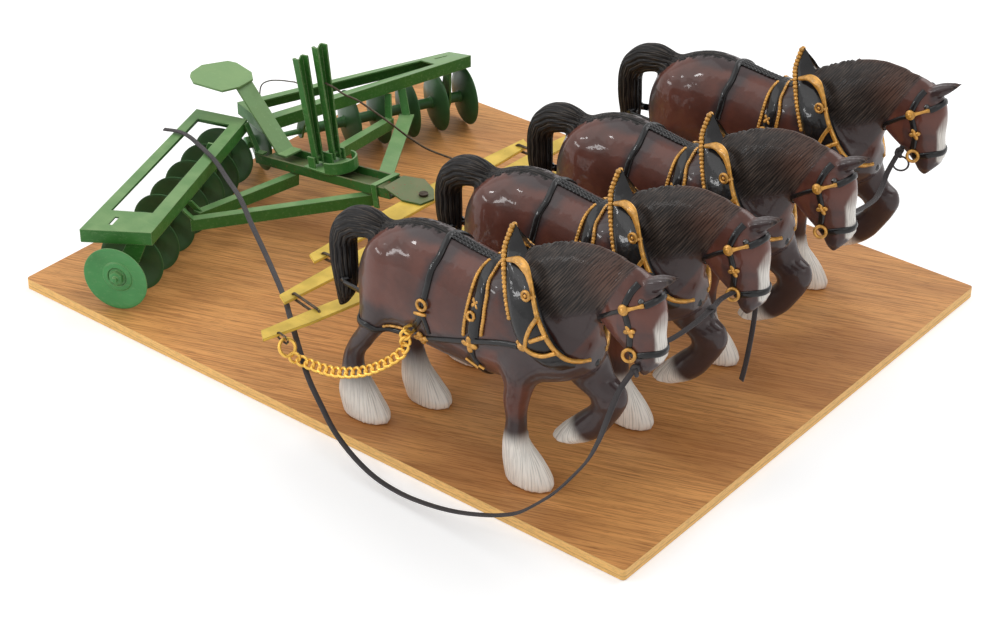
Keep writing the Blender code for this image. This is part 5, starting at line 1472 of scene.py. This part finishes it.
LACES = {
    # route, points, ends in, round wire's diameter or none for a flat lace
    "lever_wire": (LEVER_WIRE_ROUTE, 40, "object", 0.8),
    "rein_far": (FAR_REIN_ROUTE, 80, "object", 1.2),
    "rein_near": (NEAR_REIN_ROUTE, 240, "object", None),
    "coupling_strap": (COUPLING_ROUTE, 50, "object", None),
    "hanging_strap": (HANGING_ROUTE, 40, "bare", None),
    "horse_4_strap": (HORSE_4_ROUTE, 60, "object", None),
}


def lace_data(name, line, wire):
    """The lace's mesh, with the distance along it and across it for its weave."""
    made = tube(line, wire / 2, 8) if wire else ribbon(line, size("lace_width"), size("lace_thick"))
    data = mesh_of(name, made)
    points = points_of(data)
    steps = np.array([tuple(point) for point in line])
    reach = np.r_[0, np.cumsum(np.linalg.norm(np.diff(steps, axis=0), axis=1))]
    nearest = np.array([np.argmin(((steps - point) ** 2).sum(1)) for point in points])
    across = np.linalg.norm(points - steps[nearest], axis=1)
    put_attribute(data, "lace_run", np.column_stack([reach[nearest], across, np.zeros(len(points))]))
    return data


def knot(centre, radius, wire):
    """A tight overhand knot."""
    line = []
    for t in turns(48):
        across, rise = math.cos(t) - 2 * math.cos(2 * t), math.sin(t) + 2 * math.sin(2 * t)
        line.append(Vector(centre) + Vector((across * 0.6, -math.sin(3 * t), rise)) * radius / 3)
    return tube(line, wire, 8, True)


# Operators


def sees_background(tree):
    """1 for the rays that show the white background: from the camera, and off gloss or through glass."""
    rays = put(tree, "LightPath").outputs
    gloss = calc(tree, "MAXIMUM", rays["Is Glossy Ray"], rays["Is Transmission Ray"])
    return calc(tree, "MAXIMUM", rays["Is Camera Ray"], gloss)


class ToyOperator(Operator):
    """What the toy's operators share."""

    bl_options = {"REGISTER", "UNDO"}


class TOY_OT_stage(ToyOperator):
    """The pale floor, the soft lights, the white surroundings and the camera at the photo's place."""

    bl_idname = "toy.stage"
    bl_label = "Stage"

    def execute(self, context):
        scene = context.scene
        scene.view_settings.view_transform = "Standard"
        floor = bmesh.new()
        bmesh.ops.create_grid(floor, x_segments=1, y_segments=1, size=FLOOR_SIZE)
        ground = bpy.data.objects.new("floor", mesh_of("floor", floor))
        ground.location.z = -FLOOR_DROP
        scene.collection.objects.link(ground)
        material, tree, shader = finish("white_floor", {"Base Color": (0.86, 0.86, 0.86), "Roughness": 0.9})
        glow = put(tree, "Emission", {"Color": WHITE, "Strength": FLOOR_GLOW})
        glow_on = put(tree, "MixShader", {0: sees_background(tree), 2: glow.outputs[0]})
        both = put(tree, "AddShader", {0: shader.outputs[0], 1: glow_on.outputs[0]})
        tree.links.new(both.outputs[0], tree.nodes["Material Output"].inputs[0])
        ground.data.materials.append(material)
        world = bpy.data.worlds.new("white_room")
        scene.world = world
        world.use_nodes = True
        tree = world.node_tree
        soft = tree.nodes["Background"]
        soft.inputs["Color"].default_value = (*WHITE, 1)
        soft.inputs["Strength"].default_value = SOFT_ROOM
        bright = put(tree, "Background", {"Color": WHITE, "Strength": BRIGHT_ROOM})
        chosen = put(tree, "MixShader", {0: sees_background(tree), 1: soft.outputs[0], 2: bright.outputs[0]})
        tree.links.new(chosen.outputs[0], tree.nodes["World Output"].inputs[0])
        for name, place, power, long, wide in LIGHTS:
            lamp = bpy.data.lights.new(name, "AREA")
            lamp.shape, lamp.energy, lamp.size, lamp.size_y = "RECTANGLE", power, long, wide
            holder = bpy.data.objects.new(name, lamp)
            holder.location = place
            holder.rotation_euler = (-Vector(place)).to_track_quat("-Z", "Y").to_euler()
            scene.collection.objects.link(holder)
        camera = bpy.data.cameras.new("photo_camera")
        camera.lens, camera.sensor_width = CAMERA_LENS, SENSOR_WIDTH
        camera.clip_start, camera.clip_end = CLIP_START, CLIP_END
        holder = bpy.data.objects.new("photo_camera", camera)
        holder.location = CAMERA_PLACE
        holder.rotation_euler = [math.radians(a) for a in CAMERA_TURN]
        scene.collection.objects.link(holder)
        scene.camera = holder
        return {"FINISHED"}


class TOY_OT_laces(ToyOperator):
    """The reins, the coupling straps between the bits and the wire between the levers."""

    bl_idname = "toy.laces"
    bl_label = "Laces and wires"

    def execute(self, context):
        flat = lace_finish()
        wire = metal_finish("lever_wire_steel", colours().steel, 0.45, 0.5)
        ring = circle(Vector((186.5, 108.6, 101.0)), 4.2, Vector((0.9, 0.43, 0)), UP, 24)
        bit_ring = tube(ring, 0.55, 8, True, up=(0.43, -0.9, 0))
        knots = {
            "rein_near": (knot((193.6, -140.5, 99.5), 3.0, 1.1), "toy"),
            "coupling_strap": (knot((202.3, -93.0, 112.0), 3.2, 1.0), "toy"),
            "hanging_strap": (knot((198.4, -50.0, 106.5), 2.6, 1.0), "toy"),
            "horse_4_strap": (gather([knot((184.8, 109.0, 107.2), 2.8, 1.0), bit_ring]), "toy"),
        }
        for name, (route, count, far_end, diameter) in LACES.items():
            line = smooth_line(route, count)
            data = lace_data(name, line, diameter)
            made = piece(
                f"{name}_lace", data, Matrix(), wire if diameter else flat, "toy", (name,)
            )
            if name in knots:
                shape, body = knots[name]
                data = mesh_of(f"{name}_knot", shape)
                put_attribute(data, "lace_run", points_of(data) * 1.0)
                piece(f"{name}_knot", data, Matrix(), flat, body)
            diameter * MM if diameter else size("lace_width") * MM
        return {"FINISHED"}


class TOY_OT_board(ToyOperator):
    """The stained plywood board that everything stands on."""

    bl_idname = "toy.board"
    bl_label = "Board"

    def execute(self, context):
        paint_node("base_board", board_finish())
        return {"FINISHED"}


class TOY_OT_horses(ToyOperator):
    """The four moulded horses, with their eyes."""

    bl_idname = "toy.horses"
    bl_label = "Horses"

    def execute(self, context):
        coat = horse_finish()
        glass = {"Base Color": (0.012, 0.008, 0.006), "Roughness": 0.08, "Coat Weight": 1.0}
        eyes = finish("dark_eye", glass)[0]
        eye_data = mesh_of("eyes", eye_balls())
        for number in range(4):
            name = f"horse_{number + 1}"
            stand = horse_frame(number)
            piece(f"{name}_body", team()["mesh"], stand, coat, "toy", (name,))
            piece(f"{name}_eyes", eye_data, stand, eyes, "toy")
        return {"FINISHED"}


class TOY_OT_harness(ToyOperator):
    """The moulded harness: black collars and straps, and their gold fittings."""

    bl_idname = "toy.harness"
    bl_label = "Harness"

    def execute(self, context):
        black, gold = harness_finish(), gilt_finish()
        strap_data, gilt_data = mesh_of("straps", harness_black()), mesh_of("gilt", harness_gilt())
        for data in (strap_data, gilt_data):
            put_attribute(data, "horse_place", points_of(data))
        for number in range(4):
            stand = horse_frame(number)
            piece(f"horse_{number + 1}_harness", strap_data, stand, black, "toy", sharp=50)
            piece(f"horse_{number + 1}_gilt", gilt_data, stand, gold, "toy", sharp=60)
        return {"FINISHED"}


class TOY_OT_eveners(ToyOperator):
    """The yellow evener bars, their wire links and staples, and the hitch pin."""

    bl_idname = "toy.eveners"
    bl_label = "Eveners"

    def execute(self, context):
        look = colours()
        yellow = paint_finish(
            "worn_yellow_paint", look.yellow, shaded(look.yellow, 0.45), (0.11, 0.075, 0.04),
            amount=0.35, gloss=0.4, chips=0.35,
        )
        steel = metal_finish("dark_wire", look.steel, 0.38, 0.5)
        for name in BAR_YAWS:
            paint_node(name, yellow)
            parts = []
            reach = {"m": 0.0, "d": DOUBLE_LINK, "s": SINGLE_LINK}[name[0]]
            if reach:
                high = BAR_THICK / 2 + GAP + LINK_WIRE / 2
                loop = stadium(0, reach, -high, high, 0.0)
                parts.append(tube(loop, LINK_WIRE / 2 + WIRE_SWELL, 10, True, up=(0, 1, 0)))
            if name.startswith("single"):
                high = BAR_THICK / 2 + STAPLE_WIRE / 2 + STAPLE_LIFT
                start = reach + BAR_WIDTH / 2 - STAPLE_SEAT
                for y in (-SINGLE_HALF, SINGLE_HALF):
                    loop = stadium(start, start + STAPLE_SEAT + STAPLE_REACH, -high, high, y)
                    parts.append(tube(loop, STAPLE_WIRE / 2 + WIRE_SWELL, 10, True, up=(0, 1, 0)))
            if parts:
                data = mesh_of(name, gather(parts))
                piece(f"{name}_wires", data, bar_frame(name), steel, name)
        paint_node("hitch_pin", steel)
        return {"FINISHED"}


class TOY_OT_chains(ToyOperator):
    """The eight gold-coloured curb chains with their jump rings."""

    bl_idname = "toy.chains"
    bl_label = "Trace chains"

    def execute(self, context):
        bright = metal_finish("gold_chain", colours().chain, 0.22, 0.3, 0.6)
        for number in range(4):
            for side, word in ((-1, "near"), (1, "far")):
                name = f"chain_{number + 1}_{word}"
                data = mesh_of(name, chain_shape(number, side))
                piece(f"{name}_links", data, Matrix(), bright, "toy", (name,))
        return {"FINISHED"}


class TOY_OT_harrow(ToyOperator):
    """The green harrow: its sheet-metal frames, tongue, seat, levers, axles and dished discs."""

    bl_idname = "toy.harrow"
    bl_label = "Harrow"

    def execute(self, context):
        look = colours()
        worn = look.green_worn
        rubbed = tuple(a * 0.6 + b * 0.4 for a, b in zip(look.green, worn))
        # paint, worn places, what lies under it, edge wear, gloss, chips and painted light on upward faces
        green = paint_finish("worn_green_paint", look.green, worn, (0.07, 0.05, 0.03), 0.5, 0.42, 0.15)
        # lever 2: the same green with many dark chips, so darker over much of the lever
        dark_chipped_lever = paint_finish("dark_chipped_lever_paint", look.green, worn, (0.075, 0.065, 0.06), 0.6, 0.4, 0.8)
        pale = paint_finish("rubbed_green_paint", rubbed, worn, (0.13, 0.16, 0.1), 0.6, 0.45, 0.1)
        floor = paint_finish(
            "tongue_paint", shaded(look.green, 0.75), (0.2, 0.2, 0.1), look.primer, 0.6, 0.4, 0.75, 0.55
        )
        # the inner discs: a darker copy of the disc paint, painted shade between the close-set discs
        dark = paint_finish(
            "shaded_disc_paint", look.shaded_disc_green, look.green, (0.02, 0.02, 0.015), 0.2, 0.34, 0.1
        )
        # the outer near disc, also used on the axles: a paler copy of the disc paint, painted light on the
        # one disc that faces the light
        bright = paint_finish(
            "lit_outer_disc_paint", (0.07, 0.29, 0.085), worn, (0.02, 0.1, 0.02), 0.4, 0.34, 0.25
        )
        for name in NODES:
            sheet = name.startswith(("gang_frame", "brace", "hanger", "frame_tie", "lever_", "hitch_hook"))
            if sheet and name != "lever_wire":
                paint_node(name, green)
        paint_node("seat", pale)
        paint_node("tongue", floor)
        paint_node("lever_2", dark_chipped_lever)
        for name, (_, _, _, spacing, numbers) in GANGS.items():
            body = f"{name}_gang"
            for number in numbers:
                spool_end = 3.0 if number == numbers[-1] else spacing - 0.8
                data = mesh_of("disc", disc_shape(spool_end, number == 1))
                node = f"disc_{name}_{number}"
                paint = bright if number == 1 and name == "near" else dark
                stand = along_axle(name, (number - 1) * spacing)
                piece(f"{node}_dish", data, stand, paint, body, (node,), sharp=35)
            node = f"axle_{name}"
            data = mesh_of("axle", axle_shape((numbers[-1] - 1) * spacing + 3.3, -0.8))
            piece(f"{node}_bolt", data, along_axle(name), bright, body, (node,), sharp=35)
        return {"FINISHED"}


def paint_node(name, material):
    """Gives a CAD node its finish."""
    data = NODES[name].data
    data.materials.clear()
    data.materials.append(material)


class TOY_PT_panel(Panel):
    """Lists the toy's colours, sizes and pieces."""

    bl_label = "Disc Harrow Toy"
    bl_idname = "TOY_PT_panel"
    bl_space_type = "VIEW_3D"
    bl_region_type = "UI"
    bl_category = "Disc Harrow Toy"

    def draw(self, context):
        column = self.layout.column()
        for group in (context.scene.toy_sizes, context.scene.toy_colours):
            for name in group.__annotations__:
                column.prop(group, name)
        for operator in OPERATORS:
            column.operator(operator.bl_idname)


OPERATORS = (
    TOY_OT_stage, TOY_OT_laces, TOY_OT_board, TOY_OT_horses, TOY_OT_harness, TOY_OT_eveners, TOY_OT_chains,
    TOY_OT_harrow,
)
CLASSES = (ToyColours, ToySizes, *OPERATORS, TOY_PT_panel)


def register():
    """Adds the toy's classes and its panel's values."""
    for made in CLASSES:
        bpy.utils.register_class(made)
    bpy.types.Scene.toy_colours = PointerProperty(type=ToyColours)
    bpy.types.Scene.toy_sizes = PointerProperty(type=ToySizes)


def unregister():
    """Takes them away again."""
    del bpy.types.Scene.toy_sizes
    del bpy.types.Scene.toy_colours
    for made in reversed(CLASSES):
        bpy.utils.unregister_class(made)


def main():
    """Dresses the toy and keeps its sizes."""
    register()
    for operator in OPERATORS:
        group, name = operator.bl_idname.split(".")
        getattr(getattr(bpy.ops, group), name)()


if __name__ == "__main__":
    main()
